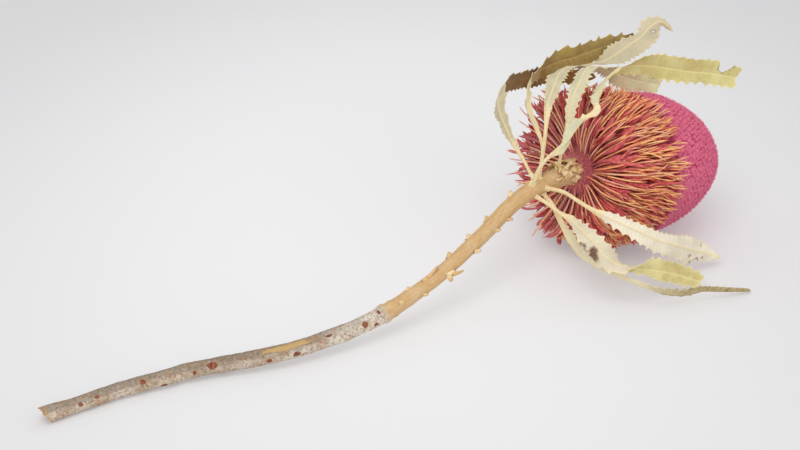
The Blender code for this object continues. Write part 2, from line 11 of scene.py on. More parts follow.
import bpy
import numpy as np
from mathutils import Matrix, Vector, noise
from mathutils.geometry import delaunay_2d_cdt


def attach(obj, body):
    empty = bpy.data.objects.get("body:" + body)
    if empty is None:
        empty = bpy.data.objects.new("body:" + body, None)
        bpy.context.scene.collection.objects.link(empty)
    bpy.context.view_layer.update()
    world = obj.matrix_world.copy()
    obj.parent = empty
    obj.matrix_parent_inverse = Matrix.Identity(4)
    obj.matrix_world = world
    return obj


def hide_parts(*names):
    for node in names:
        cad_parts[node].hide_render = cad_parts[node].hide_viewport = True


MM = 0.001
# What is added to the flower's own places to set it into the frame.
PLACE = np.array((29.2, 73.0, 0.0))

# The camera, which stands where the photograph was taken from.
CAMERA_AT = (-0.3246, -0.5227, 0.4)
CAMERA_LOOK = (0.4422, 0.7446, -0.5)
CAMERA_LENS = 70.0
SEEN_FROM = -np.array(CAMERA_LOOK)
# The floor's painted glow, a painted pool of light, is brightest at its centre and dims over so
# many millimetres across the picture and away from the camera.
FLOOR_CENTRE = (0.061, 0.118, 0.0)
FLOOR_HALF = 6.0
FLOOR_REACH = (230.0, 300.0)
# Painted light: the strength of the floor's glow, which lightens the shadows on it, and the share of it left
# at the far parts.
PAINTED_FLOOR_GLOW = 0.26
PAINTED_GLOW_DIM = 0.5
SKY_STRENGTH = 0.78
# Each lamp's place, what it aims at, its size, power and colour.
LAMPS = {
    "key": ((-0.38, -0.32, 0.9), (0.06, 0.0, 0.03), (0.7, 0.7), 3.9, (1.0, 0.985, 0.955)),
    "fill": ((0.3, -0.85, 0.3), (0.13, 0.0, 0.04), (0.8, 0.5), 0.75, (1.0, 0.99, 0.98)),
}

# The flower head: the middle of its base, where its axis points, and how far it dips.
HEAD_BASE = np.array((60.9, -64.3, 44.3))
HEAD_TURN = 2.3
HEAD_DIP = 12.2
# The woody core, which widens from its base, and the stretch of it that bears florets.
CORE_END = 30.6
CORE_RADIUS = 15.5
CORE_FLARE = 9.5
CORE_EASE = 4.5
CORE_ROUNDS = 72
WOOL_HAIRS = 6000
ZONE_START = 2.0
ZONE_END = 29.0
# How far above the table the florets' lines keep as they fan out, and once they are bent.
FLORET_CLEAR = 0.5
STYLE_CLEAR = 0.6
PERIANTH_CLEAR = 0.9
# How far along the foremost florets reach, at which angle, and how far that falls off.
FRONT_TIP = 43.5
FRONT_ANGLE = -55.0
FRONT_FALL = 9.0
# The fan's last three control points, along the axis and out from it, for the rearmost and
# the foremost florets.
FAN_BACK = ((1.0, 30.0), (-3.0, 42.0), (-8.0, 45.0))
FAN_FRONT = ((30.0, 30.0), (33.0, 40.0), (FRONT_TIP, 37.5))
# The same on the side that faces up and forward, where the rear florets arch to the dome.
NEAR_ANGLE = -62.0
NEAR_BACK = ((-2.5, 20.0), (-0.5, 33.0), (12.0, 37.0))
NEAR_FRONT = ((29.0, 27.0), (31.0, 38.0), (FRONT_TIP, 37.5))
NEAR_BULGE = 4.0
# Underneath the rearmost florets are shorter. The three points take these shares of it.
LOW_TRIM = 6.5
FAN_CUTS = (0.2, 0.7, 1.0)
# How a style's own stray moves the first three control points along the axis.
LOOSE_SHARES = (0.3, -0.5, 1.0)
# The turn from one floret or bud to the next in its spiral row.
GOLDEN = 180 * (3 - math.sqrt(5))

STYLES = 840
STYLE_POINTS = 12
STYLE_SIDES = 5
STYLE_RADIUS = 0.42
PERIANTHS = 1150
PERIANTH_POINTS = 11
PERIANTH_SIDES = 4
PERIANTH_DEPTH = 0.98
PERIANTH_HAIRS = 12
# Florets lean together in this many bunches, each about so wide round the head and along it.
CLUMPS = 150
CLUMP_SIZE = (9.0, 4.0)
CLUMP_PULL = 0.4

DOME_RADIUS = 33.0
DOME_WIDEST = 43.5
DOME_TIP = 84.8
DOME_RIM = 36.0
DOME_RIM_RADIUS = 34.6
DOME_SAG = 0.042
DOME_ROUNDS = 90
# How the dome's skin goes on under its rim to the core: along the axis and out from it.
DOME_FOOT = ((30.9, 33.4), (16.2, 25.0))
# How much fuller the dome is on its upper side, and slighter on its lower front, along its axis.
DOME_FULLER = ((36, 45, 50, 62, 75), (2.4, 3.0, 2.6, 1.0, 0.0))
DOME_FULLER_ANGLE = 25
DOME_SLIGHTER = ((40, 45, 55, 73, 80, 84.8), (0.0, 1.2, 2.3, 3.2, 1.8, 0.0))
DOME_SLIGHTER_ANGLE = -135
BUDS = 1900
BUD_STRAY = 0.3
BUD_SIDES = 8
# The rings of one bud: height and radius.
BUD_RINGS = ((-1.0, 1.35), (-0.2, 1.5), (0.28, 1.36), (0.58, 0.98), (0.74, 0.5))
BUD_TOP = 0.8
BUD_HAIRS = 24

# The stem's middle line from its cut end to the head, with its radius.
STEM_LINE = [
    (-212.8, -66.2, 3.2, 3.3),
    (-175.0, -66.6, 4.0, 3.5),
    (-143.9, -70.9, 4.9, 3.7),
    (-105.1, -81.5, 7.0, 3.9),
    (-61.7, -84.4, 12.0, 4.0),
    (-33.2, -81.7, 19.4, 3.6),
    (-1.1, -74.1, 29.7, 3.8),
    (26.9, -65.8, 38.9, 4.1),
    (43.2, -63.5, 42.3, 4.7),
    (52.6, -64.2, 43.9, 5.3),
    (60.9, -64.3, 44.3, 5.4),
]
CUT_FLARE = 0.8
CUT_SLANT = 2.2
CUT_RINGS = 6
# The cut's face, by rings at these shares of its size.
CUT_FACE = (0.82, 0.6, 0.36, 0.14)
STEM_SIDES = 44
STEM_RINGS = 640
STEM_RING_AT = 156.5
# Leaf scars on the old wood: length along the stem, place across it as the photograph
# shows it from -1 above to 1 below, half length, half width.
SCARS = [
    (74.5, -0.12, 2.2, 1.5), (43.0, -0.2, 1.2, 1.0), (52.0, 0.82, 1.7, 0.8), (66.0, 0.25, 0.8, 0.9),
    (99.5, 0.5, 1.0, 0.9), (111.5, 0.5, 1.4, 1.0), (127.5, -0.35, 1.7, 0.5), (145.0, 0.0, 1.3, 1.2),
    (14.5, 0.1, 0.9, 0.8), (22.0, -0.1, 0.8, 0.6), (86.0, -1.9, 2.2, 1.5), (34.0, 2.4, 2.0, 1.4),
    (120.0, 2.6, 1.9, 1.4), (60.0, -2.4, 1.8, 1.4), (153.5, -0.5, 0.7, 0.9), (150.0, 0.6, 0.9, 0.6),
]
# Where the old wood has lost its bark, given as a scar is.
BARE_PATCH = (107, -0.62, 11.0, 1.7)
# Stubs of old leaves on the young wood, placed in the same way, with their height.
NUBS = [
    (246.0, -1.0, 2.0), (227.6, -1.05, 1.3), (213.8, -1.0, 1.4), (199.3, -1.0, 1.5), (172.0, -1.0, 0.7),
    (235.7, 0.95, 1.5), (226.5, 0.8, 1.3), (211.5, 0.9, 1.3), (178.0, 0.85, 0.7), (166.0, -0.1, 0.5),
    (222.0, 2.2, 2.0), (196.0, 2.6, 2.1), (236.0, -2.4, 2.2), (183.0, -2.2, 1.8), (164.0, 2.9, 1.4),
]
# A side shoot pressed to the stem, and the forked spur: length along the stem and place across.
SHOOT_AT = (180.0, -0.75)
SPUR_AT = (194.0, 0.85)
STUB_SIDES = 12
BRACTS = 90
BRACT_SIDES = 10

# Each leaf by stations along its midrib: distance along the head's axis from its base,
# distance from that axis, angle round it from the top, width of the left and of the right
# half unless LEAF_WIDTHS has them, twist.
LEAVES = {
    "leaf_1": [
        (-17, 11, 126, 0.9, 0.9, -10), (-22, 13, 86, 0.9, 0.9, -10), (-26, 19, 67, 1.6, 1.4, -5),
        (-29, 26, 58, 4.0, 2.6, 0), (-30, 34, 55, 6.0, 4.5, -5), (-27, 42, 57, 6.3, 5.8, -5),
        (-21, 50, 59, 5.6, 5.6, -10), (-13, 56, 61, 5.6, 5.6, -10), (-3, 60, 63, 5.6, 5.6, -15),
        (9, 63, 65, 5.4, 5.4, -20), (21, 65, 65, 5.2, 5.2, -20), (32, 64, 65, 4.6, 4.6, -25),
        (43, 62, 65, 3.6, 3.6, -25), (51, 61, 64, 1.2, 1.2, -25),
    ],
    "leaf_2": [
        (-16, 6, 62, 0.9, 0.9, 5), (-20, 16, 26, 0.9, 0.9, 10), (-23, 25, 28, 2.2, 2.2, -5),
        (-23, 32, 33, 2.0, 2.0, -15), (-19, 39, 39, 3.4, 3.4, -20), (-12, 47, 45, 2.8, 3.6, -25),
        (-2, 54, 48, 5.2, 5.6, -30), (11, 59, 48, 6.6, 6.6, -45), (27, 62, 47, 6.4, 6.4, -50),
        (44, 66, 46, 5.4, 5.4, -55), (59, 69, 45, 3.6, 3.6, -55), (71, 71, 45, 1.0, 1.0, -60),
    ],
    "leaf_3": [
        (-17, 4, 46, 0.9, 0.9, 25), (-23, 15, 4, 0.9, 0.9, 35), (-24, 25, 4, 0.9, 1.1, 30),
        (-22, 33, 10, 1.9, 2.4, 25), (-17, 40, 15, 3.9, 3.6, 20), (-10, 46, 21, 5.6, 3.6, 15),
        (1, 50.5, 29, 4.6, 3.6, 10), (14, 52, 35, 4.4, 4.4, 5), (26, 54, 39, 4.2, 4.2, 10),
        (37, 56, 40, 5.0, 5.0, 40), (45, 59, 38, 6.6, 6.4, 55), (54, 63, 38, 6.0, 6.8, 60),
        (62, 67, 36, 3.4, 7.2, 60), (69, 72, 35, 5.2, 6.4, 65), (75, 74, 34, 2.4, 2.6, 100),
        (82, 69, 34, 0.8, 0.8, 130),
    ],
    "leaf_4": [
        (-8, 3, 2, 0.9, 0.9, 40), (-15, 17, -12, 0.9, 0.9, 40), (-17, 29, -11, 1.7, 2.8, 30),
        (-17, 35, -7, 2.3, 3.2, 25), (-15, 42, -4, 3.8, 4.1, 10), (-9, 47, 2, 4.6, 3.8, -5),
        (1, 50, 11, 4.4, 4.2, -10), (13, 50, 19, 4.0, 4.2, -10), (26, 49, 27, 4.2, 4.0, -20),
        (41, 47, 35, 6.4, 4.0, -30), (59, 45, 42, 6.0, 5.4, -35), (74, 43, 44, 5.0, 5.0, -35),
    ],
    "leaf_5": [
        (-22, 3, -158, 40), (-26, 11, -30, 50), (-25, 19, -32, 30), (-23, 26, -32, 30),
        (-21, 35, -29, 20), (-20, 41, -28, 0), (-17, 45, -27, -15), (-14, 48, -22, -25),
        (-8, 51, -15, -45), (4, 52, -5, -55), (19, 52, 4, -60), (33, 52, 6, -70),
        (46, 51, 4, -80), (58, 50, 0, -85), (70, 50, -4, -90), (85, 50, -11, -95),
    ],
    "leaf_6": [
        (-14, 5, -155, 0.9, 0.9, -15), (-15, 12, -116, 0.9, 0.9, -15), (-15, 22, -103, 0.9, 0.9, -20),
        (-13, 32, -100, 1.0, 1.4, -20), (-9, 41, -99, 3.0, 3.2, -25), (-1, 50, -100, 3.6, 4.6, -25),
        (10, 56, -103, 4.0, 5.9, -30), (23, 57, -107, 5.0, 6.3, -35), (37, 57, -112, 6.2, 7.4, -35),
        (49, 57, -116, 4.0, 4.2, -45), (58, 59, -118, 0.8, 0.8, -45),
    ],
    "leaf_7": [
        (-20, 13, -178, 0.9, 0.9, -10), (-21, 15, -143, 0.9, 0.9, -10), (-22, 23, -121, 1.0, 1.0, -15),
        (-22, 30, -113, 2.2, 1.8, -30), (-22, 38, -110, 3.6, 4.0, -35), (-20, 47, -110, 4.6, 5.4, -35),
        (-16, 54, -113, 5.6, 5.5, -45), (-11, 58, -114, 5.0, 4.6, -75), (-5, 60, -114, 3.6, 5.2, -145),
        (3, 62, -115, 2.4, 6.6, -195), (12, 64, -115, 4.6, 6.2, -210), (23, 67, -116, 4.6, 5.6, -215),
        (36, 72, -117, 3.0, 4.0, -215),
    ],
    "leaf_8": [
        (-15, 10, 174, 1.0, 1.0, -20), (-15, 15, -160, 1.0, 1.0, -15), (-17, 24, -140, 1.8, 1.2, -10),
        (-18, 35, -132, 3.6, 1.4, -5), (-18, 44, -127, 4.0, 1.4, 5), (-15, 52, -124, 3.8, 1.3, 15),
        (-9, 59, -121, 3.0, 1.2, 20), (-3, 65, -119, 2.3, 1.2, 24), (6, 72, -118, 3.2, 2.2, 12),
        (18, 77, -117, 3.0, 2.2, 5), (29, 79, -114, 2.4, 1.8, 0), (41, 82, -113, 1.7, 1.1, -5),
        (54, 85, -112, 1.0, 1.0, -5),
    ],
}
# How each leaf is finished: the colours of its underside, its upper side and that side's
# shading, the spacing and depth of its teeth on the left and on the right, what is torn or
# eaten out of it (along, across), its brown spots (along, across, radius) and where its end
# turns dry.
LEAF_FINISH = {
    "leaf_1": dict(under=(207, 195, 160), upper=(156, 122, 50), shade=(122, 90, 36), pitch=(3.8, 5.3),
                   depth=(0.7, 1.0), spots=[(91, 4.6, 3.4), (94, 5.4, 2.6)]),
    "leaf_2": dict(under=(218, 204, 164), upper=(188, 162, 92), shade=(156, 130, 68), pitch=(6.4, 7.6),
                   depth=(0.9, 1.1), spots=[(137, 0.0, 3.0)]),
    "leaf_3": dict(under=(210, 199, 167), upper=(180, 160, 104), shade=(150, 126, 78), pitch=(3.6, 3.6),
                   depth=(0.85, 0.7),
                   cuts=[[(143.6, 2.6), (144.6, 1.9), (146.0, 2.3), (146.3, 3.3), (145.0, 3.7)]],
                   spots=[]),
    "leaf_4": dict(under=(220, 212, 178), upper=(244, 255, 198), shade=(238, 248, 190), pitch=(3.8, 3.6),
                   depth=(0.85, 0.8), spots=[(137, 4.0, 1.2)]),
    "leaf_5": dict(under=(222, 216, 182), upper=(224, 216, 150), shade=(206, 194, 120), pitch=(4.9, 4.9),
                   depth=(1.0, 0.7),
                   cuts=[[(157.4, 10), (158, 2.8), (160.5, 1.3), (163.2, 3.4), (165.2, 5.6), (166.2, 10)]],
                   spots=[(97, 3.2, 1.2), (101, 3.6, 1.0)]),
    "leaf_6": dict(under=(243, 233, 210), upper=(178, 160, 108), shade=(140, 116, 72), pitch=(3.6, 4.7),
                   depth=(0.6, 1.0),
                   cuts=[[(98.5, 10), (99.4, 4.4), (101.5, 3.4), (103, 4.2), (106, 10)],
                         [(94.0, 2.9), (94.6, 2.4), (95.4, 2.6), (95.4, 3.2), (94.7, 3.4)]],
                   spots=[(103, -3.0, 0.8), (106, 2.6, 0.9), (97.5, 6.2, 0.9), (101, 3.6, 0.8)]),
    "leaf_7": dict(under=(226, 214, 187), upper=(232, 220, 158), shade=(208, 192, 126), pitch=(4.6, 4.6),
                   depth=(1.0, 1.0),
                   cuts=[[(41.0, 9), (41.6, 5.4), (43.0, 4.4), (44.2, 5.6), (44.6, 9)],
                         [(48.0, 9), (48.6, 5.4), (49.8, 4.8), (51.0, 5.2), (51.4, 9)]],
                   spots=[(47.8, 3.0, 2.6), (50, 4.4, 2.6), (42.5, 4.6, 1.2)]),
    "leaf_8": dict(under=(234, 223, 190), upper=(222, 208, 148), shade=(194, 176, 112), pitch=(4.2, 4.2),
                   depth=(0.9, 0.9), aged=(72, 96),
                   spots=[(108, 0.8, 0.7), (118, -0.4, 0.6), (124, 0.3, 0.6)]),
}
# How far each half of a leaf is folded back from flat: (along, left, right) in degrees.
LEAF_FOLD = [(0, 9, 9), (200, 9, 9)]
LEAF_FOLDS = {
    "leaf_5": [(0, 9, 9), (26, 9, 9), (34, 9, 70), (40, 9, 110), (49, 9, 110), (56, 9, 40), (61, 9, 110),
               (88, 4, 110), (97, 6, 30), (104, 9, 9), (200, 9, 9)],
}
# The lobes of a torn leaf: length along its midrib, width of the left and of the right half.
LEAF_WIDTHS = {
    "leaf_5": [
        (0, 1.0, 1.0), (16.5, 0.9, 0.9), (22, 0.9, 0.9), (25, 0.9, 2.2), (30, 1.2, 3.4), (33.5, 2.5, 2.6),
        (36, 4.4, 0.8), (41, 5.2, 0.7), (46, 3.2, 0.7), (50, 1.2, 1.0), (53, 1.0, 2.6), (56, 1.2, 2.2),
        (58.5, 3.4, 0.8), (64, 6.2, 0.8), (70, 7.6, 0.8), (78, 7.8, 0.8), (86, 6.2, 0.8),
        (93, 4.6, 1.4), (99.8, 4.4, 2.2), (114, 5.4, 7.2),
        (127.2, 6.6, 7.0), (139.7, 6.0, 7.4), (152.1, 6.0, 7.6), (168.4, 5.6, 6.5),
    ],
}
LEAF_THIN = 0.36
MIDRIB_POINTS = 900
# The grid of a leaf: the step along it and the columns out from its midrib.
LEAF_STEP = 1.15
LEAF_COLUMNS = (0.0, 0.28, 0.6, 1.1, 1.9, 2.8, 3.7, 4.6, 5.5, 6.4)
# The leaves keep this far above the table.
LEAF_CLEAR = 0.15
# A stalk starts this deep in the stem, at one of so many stops along it, and widens towards
# it over this length.
STALK_SUNK = -1.9
STALK_STOPS = 52
STALK_FLARE = 2.6
# How far a side vein lags along the leaf for each millimetre out from the midrib.
VEIN_SLANT = 0.42
# One saw tooth, by the share of the way to the next one and the rise there.
TOOTH = ((0.0, 0.0), (0.18, 0.10), (0.38, 0.42), (0.60, 1.0), (0.68, 0.86), (0.76, 0.34), (0.88, 0.04))
TOOTH_DEPTH = 1.75
# Where a torn leaf's end has points across it, as shares of its half width.
TORN_END = (0.72, 0.45, 0.2, -0.05, -0.3, -0.55, -0.8)
RIB_PALE = (240, 220, 166)
OLIVE_LEAVES = ("leaf_1", "leaf_2", "leaf_5")
# Where a leaf's end turns brown and dry, for leaves on which it doesn't: beyond any leaf.
NOT_AGED = (998, 999)


def unit(v):
    return v / np.maximum(np.linalg.norm(v, axis=-1, keepdims=True), 1e-12)


def square_to(ways, axes):
    """Directions turned square to the axes."""
    return unit(ways - axes * (ways * axes).sum(-1, keepdims=True))


def keep_above(points, height):
    points[..., 2] = np.maximum(points[..., 2], height)


def head_frame(turn, dip):
    """The head's axis, its sideways direction and its own up direction, as unit vectors."""
    axis = np.array((math.cos(dip) * math.cos(turn), math.cos(dip) * math.sin(turn), -math.sin(dip)))
    side = np.array((-math.sin(turn), math.cos(turn), 0.0))
    return axis, side, np.cross(axis, side)


AXIS, SIDE, UP = head_frame(math.radians(HEAD_TURN), math.radians(HEAD_DIP))


def head_points(along, out, angle):
    """Points given along the head's axis, out from it and round it from the top."""
    along, out, angle = np.broadcast_arrays(along, out, np.radians(angle))
    round_it = np.cos(angle)[..., None] * UP + np.sin(angle)[..., None] * SIDE
    return HEAD_BASE + along[..., None] * AXIS + out[..., None] * round_it


def round_ways(angle):
    """The directions in which the angle round the head grows."""
    a = np.radians(angle)[..., None]
    return np.cos(a) * SIDE - np.sin(a) * UP


class Shape:
    """Points, faces and named numbers for each point, gathered until they become one piece."""

    def __init__(self, *marks):
        self.points = []
        self.faces = []
        self.slots = []
        self.marks = {name: [] for name in marks}
        self.count = 0

    def add(self, points, *faces, slot=0, **marks):
        """Adds points and faces. A mark is given by one number for each point, for each equal
        group of points in turn, or for all."""
        points = np.array(points, float).reshape(-1, 3)
        keep_above(points, 0.0)
        self.points.append(points)
        for group in faces:
            self.faces.append(group + self.count)
            self.slots.append(np.full(len(group), slot))
        for name, rows in self.marks.items():
            value = np.asarray(marks.get(name, 0.0), float).reshape(-1)
            rows.append(np.repeat(value, len(points) // len(value)))
        self.count += len(points)

    def piece(self, name, node, slot, *materials):
        """The gathered shape as a piece that stands for a node and rides with the part."""
        mesh = bpy.data.meshes.new(name)
        points = (np.concatenate(self.points) + PLACE) * MM
        faces = [face for group in self.faces for face in group.tolist()]
        mesh.from_pydata(points.tolist(), [], faces, shade_flat=False)
        mesh.polygons.foreach_set("material_index", np.concatenate(self.slots).astype(np.int32))
        for mark, rows in self.marks.items():
            layer = mesh.attributes.new(mark, "FLOAT", "POINT")
            layer.data.foreach_set("value", np.concatenate(rows).astype(np.float32))
        mesh.validate()
        for material in materials:
            mesh.materials.append(material)
        piece = bpy.data.objects.new(name, mesh)
        bpy.context.scene.collection.objects.link(piece)
        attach(piece, "root")
        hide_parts(node)


def ring_turns(count):
    return 2 * math.pi * np.arange(count) / count


def grid_quads(*shape):
    """Quads of grids of points whose last axis runs round a ring and the one before it along."""
    index = np.arange(math.prod(shape)).reshape(shape)
    nxt = np.roll(index, -1, axis=-1)
    corners = index[..., :-1, :], nxt[..., :-1, :], nxt[..., 1:, :], index[..., 1:, :]
    return np.stack(corners, -1).reshape(-1, 4)


def inward_quads(*shape):
    """The same quads facing the other way."""
    return grid_quads(*shape)[:, [0, 3, 2, 1]]


def tube_frames(paths, across=None):
    """Directions along many lines, and two directions across each that turn with it."""
    along = unit(np.gradient(paths, axis=1))
    if across is None:
        across = np.cross(along[:, 0], (0.31, 0.52, 0.79))
    sides = np.empty_like(paths)
    others = np.empty_like(paths)
    for i in range(paths.shape[1]):
        across = square_to(across, along[:, i])
        sides[:, i] = across
        others[:, i] = np.cross(along[:, i], across)
    return along, sides, others


def tubes(paths, radii, sides, across=None, flat=1.0, spin=None):
    """Points and quads of many tubes: paths (n, k, 3), radii (n, k), flattened by flat."""
    _, a, b = tube_frames(paths, across)
    if spin is not None:
        c, s = np.cos(spin)[..., None], np.sin(spin)[..., None]
        a, b = a * c + b * s, b * c - a * s
    turn = ring_turns(sides)
    ring = a[:, :, None] * np.cos(turn)[:, None] + b[:, :, None] * (np.sin(turn) * flat)[:, None]
    points = paths[:, :, None] + radii[:, :, None, None] * ring
    return points.reshape(-1, 3), grid_quads(*paths.shape[:2], sides)


def noise_at(points, scale):
    """Noise at each point, finer for a larger scale."""
    return np.array([noise.noise(Vector(p) * scale) for p in points.reshape(-1, 3)])


def rough_tube(path, radii, sides, flat, grain, depth, across=None):
    """One tube whose surface is uneven by so much, at the given grain."""
    points, quads = tubes(path[None], radii[None], sides, across, flat)
    middle = np.repeat(path, sides, axis=0)
    return middle + (points - middle) * (1 + depth * noise_at(points, grain))[:, None], quads


def run_of(points):
    """The length of the line up to each of its points."""
    steps = np.linalg.norm(np.diff(points, axis=0), axis=1)
    return np.concatenate([[0.0], np.cumsum(steps)])


def smooth_line(rows, count):
    """Rows of numbers, the first three a place, evened out along a curve through them."""
    rows = np.array(rows, float)
    reach = run_of(rows[:, :3])
    slopes = np.gradient(rows, reach, axis=0)
    where = np.linspace(0.0, reach[-1], count)
    i = np.clip(np.searchsorted(reach, where, side="right") - 1, 0, len(rows) - 2)
    span = (reach[i + 1] - reach[i])[:, None]
    u = (where[:, None] - reach[i][:, None]) / span
    return (
        (2 * u**3 - 3 * u**2 + 1) * rows[i]
        + (u**3 - 2 * u**2 + u) * span * slopes[i]
        + (3 * u**2 - 2 * u**3) * rows[i + 1]
        + (u**3 - u**2) * span * slopes[i + 1]
    )


def core_radius(along):
    """Radius of the woody core, which widens from its base in an even curve."""
    return CORE_RADIUS - CORE_FLARE * np.exp(-np.maximum(along, 0.0) / CORE_EASE)


def nearness(angle):
    """1 on the side of the head that faces up and forward, 0 on the far side."""
    share = np.clip(0.5 + 0.75 * np.cos(np.radians(angle - NEAR_ANGLE)), 0, 1)
    return share * share * (3 - 2 * share)


def fan_paths(level, angle, sway, root, reach, count, pull, loose=None):
    """Lines that fan out from the core, for levels between 0 at the back and 1 in front."""
    s = reach[:, None] * np.linspace(0, 1, count)
    turn = angle[:, None] + sway[:, None] * s**2 + pull[:, None] * s**1.6
    near = nearness(turn)
    level, root = level[:, None], root[:, None]
    trim = LOW_TRIM * (1 - level) * np.maximum(0, -np.cos(np.radians(turn))) ** 2
    away = ((turn - FRONT_ANGLE + 180) % 360 - 180) / 60
    fall = FRONT_FALL * np.minimum(away**2, 1.1)
    alongs = [ZONE_START + (ZONE_END - ZONE_START) * level]
    outs = [root]
    for cut, *knots in zip(FAN_CUTS, FAN_BACK, FAN_FRONT, NEAR_BACK, NEAR_FRONT):
        for which, rows in enumerate((alongs, outs)):
            back, front, near_back, near_front = (knot[which] for knot in knots)
            if which == 0 and cut == 1.0:
                front, near_front = front - fall, near_front - fall
            far_side = back + (front - back) * level
            near_side = near_back + (near_front - near_back) * level
            if which == 1 and cut > 0.5:
                near_side = near_side + NEAR_BULGE * 4 * level * (1 - level)
            rows.append(far_side + (near_side - far_side) * near - which * cut * trim)
    if loose is not None:
        for i, share in enumerate(LOOSE_SHARES):
            alongs[i] = alongs[i] + share * loose[:, :1]
        outs[2] = outs[2] + loose[:, 1:]
    weights = ((1 - s) ** 3, 3 * s * (1 - s) ** 2, 3 * s * s * (1 - s), s**3)
    along = sum(w * a for w, a in zip(weights, alongs))
    out = sum(w * o for w, o in zip(weights, outs))
    height = head_points(along, root, turn)[..., 2]
    rest = height - FLORET_CLEAR
    drop = height - head_points(along, out, turn)[..., 2]
    share = np.where(drop > rest, rest / np.maximum(drop, 1e-6), 1.0).min(axis=1)[:, None]
    return along, root + (out - root) * np.minimum(share, 1.0), turn


def gather(angle, along, draws):
    """How far each floret leans round the head towards the middle of its own bunch."""
    centre_angle = draws.uniform(0, 360, CLUMPS)
    centre_along = draws.uniform(ZONE_START, ZONE_END, CLUMPS)
    turn = (centre_angle[None] - angle[:, None] + 180) % 360 - 180
    wide, deep = CLUMP_SIZE
    far = (turn / wide) ** 2 + ((centre_along[None] - along[:, None]) / deep) ** 2
    return CLUMP_PULL * turn[np.arange(len(angle)), far.argmin(axis=1)]


def stray(points, draws, *bends):
    """Lines with random bends added, each given by its strength and its growth along the line."""
    for strength, growth in bends:
        points = points + draws.normal(0, strength, (len(points), 1, 3)) * growth[None, :, None]
    return points


def hair_triangles(roots, ways, lengths, width, draws):
    """Each hair as one thin triangle."""
    half = unit(np.cross(ways, draws.normal(size=ways.shape))) * (width / 2)
    points = np.stack([roots - half, roots + half, roots + ways * lengths[:, None]], 1)
    return points.reshape(-1, 3), np.arange(len(roots) * 3).reshape(-1, 3)


def build_hairs(name, node, slot, paint, draws, roots, ways, lengths, width, floor=0.0):
    """A piece of short hairs, each with its own shade, that keep above the floor."""
    points, triangles = hair_triangles(roots, ways, lengths, width, draws)
    keep_above(points, floor)
    shape = Shape("vary")
    shape.add(points, triangles, vary=draws.uniform(0, 1, len(roots)))
    shape.piece(name, node, slot, paint)


def linear(colour):
    """A colour given as screen numbers up to 255, as a shader takes it."""
    c = np.array(colour, float) / 255
    return (*np.where(c <= 0.04045, c / 12.92, ((c + 0.055) / 1.055) ** 2.4), 1.0)


class Paint:
    """A material's nodes, with short ways to add to them."""

    def __init__(self, name, roughness, **settings):
        self.material = bpy.data.materials.new(name)
        self.material.use_nodes = True
        self.tree = self.material.node_tree
        self.shader = self.tree.nodes["Principled BSDF"]
        for key, value in dict(settings, Roughness=roughness).items():
            self.shader.inputs[key.replace("_", " ")].default_value = value

    def put(self, value, socket):
        """Gives a socket a number, a colour, the output of a node or a mark by its name."""
        if isinstance(value, str):
            value = self.add("Attribute", {}, out="Fac", attribute_name=value)
        if isinstance(value, bpy.types.NodeSocket):
            self.tree.links.new(value, socket)
        elif isinstance(value, tuple) and len(value) == 3 and socket.type == "RGBA":
            socket.default_value = linear(value)
        else:
            socket.default_value = value

    def add(self, kind, inputs, out=0, **settings):
        node = self.tree.nodes.new("ShaderNode" + kind)
        for key, value in settings.items():
            setattr(node, key, value)
        for key, value in inputs.items():
            self.put(value, node.inputs[key])
        return node.outputs[out]

    def place(self, stretch=(1, 1, 1)):
        """The point of the object in millimetres, stretched."""
        spot = self.add("TexCoord", {}, out="Object")
        scale = tuple(s / MM for s in stretch)
        return self.add("Mapping", {"Vector": spot, "Scale": scale}, vector_type="POINT")

    def noise(self, scale, detail=3.0, rough=0.55, at=None):
        inputs = {"Vector": at or self.place(), "Scale": scale, "Detail": detail, "Roughness": rough}
        return self.add("TexNoise", inputs, out="Fac")

    def math(self, operation, a, b=0.0, c=0.0):
        return self.add("Math", {0: a, 1: b, 2: c}, operation=operation)

    def times(self, a, b):
        return self.math("MULTIPLY", a, b)

    def steps(self, value, low, high, start=0.0, end=1.0):
        inputs = {"Value": value, "From Min": low, "From Max": high, "To Min": start, "To Max": end}
        return self.add("MapRange", inputs, interpolation_type="SMOOTHSTEP")

    def mix(self, share, a, b):
        node = self.tree.nodes.new("ShaderNodeMix")
        node.data_type = "RGBA"
        for value, socket in ((share, 0), (a, 6), (b, 7)):
            self.put(value, node.inputs[socket])
        return node.outputs[2]

    def tints(self, colour, *rows):
        """A colour under tints, each laid on up to its share as its value goes from low to high."""
        for value, low, high, share, tint in rows:
            colour = self.mix(self.steps(value, low, high, 0.0, share), colour, tint)
        return colour

    def finish(self, colour, height=None, distance=0.0):
        """The material, with its colour and the bumps that the height makes."""
        self.put(colour, self.shader.inputs["Base Color"])
        if height is not None:
            bump = self.add("Bump", {"Height": height, "Distance": distance * MM})
            self.put(bump, self.shader.inputs["Normal"])
        return self.material


def style_paint():
    radius = (0.8 * MM, 0.4 * MM, 0.2 * MM)
    paint = Paint("style_silk", 0.42, Coat_Weight=0.12, Subsurface_Weight=0.15, Subsurface_Radius=radius)
    body = paint.mix("vary", (247, 150, 104), (255, 204, 134))
    foot = paint.mix("vary", (224, 104, 88), (248, 164, 118))
    colour = paint.tints(
        paint.mix(paint.steps("along", 0.05, 0.4), foot, body),
        ("along", 0.9, 0.97, 0.7, (236, 152, 84)),
        ("pale", 0.0, 1.0, 1.0, (236, 180, 158)),
        (paint.noise(0.35), 0.5, 0.75, 0.25, (206, 92, 74)),
    )
    return paint.finish(colour, paint.noise(3.0), 0.05)


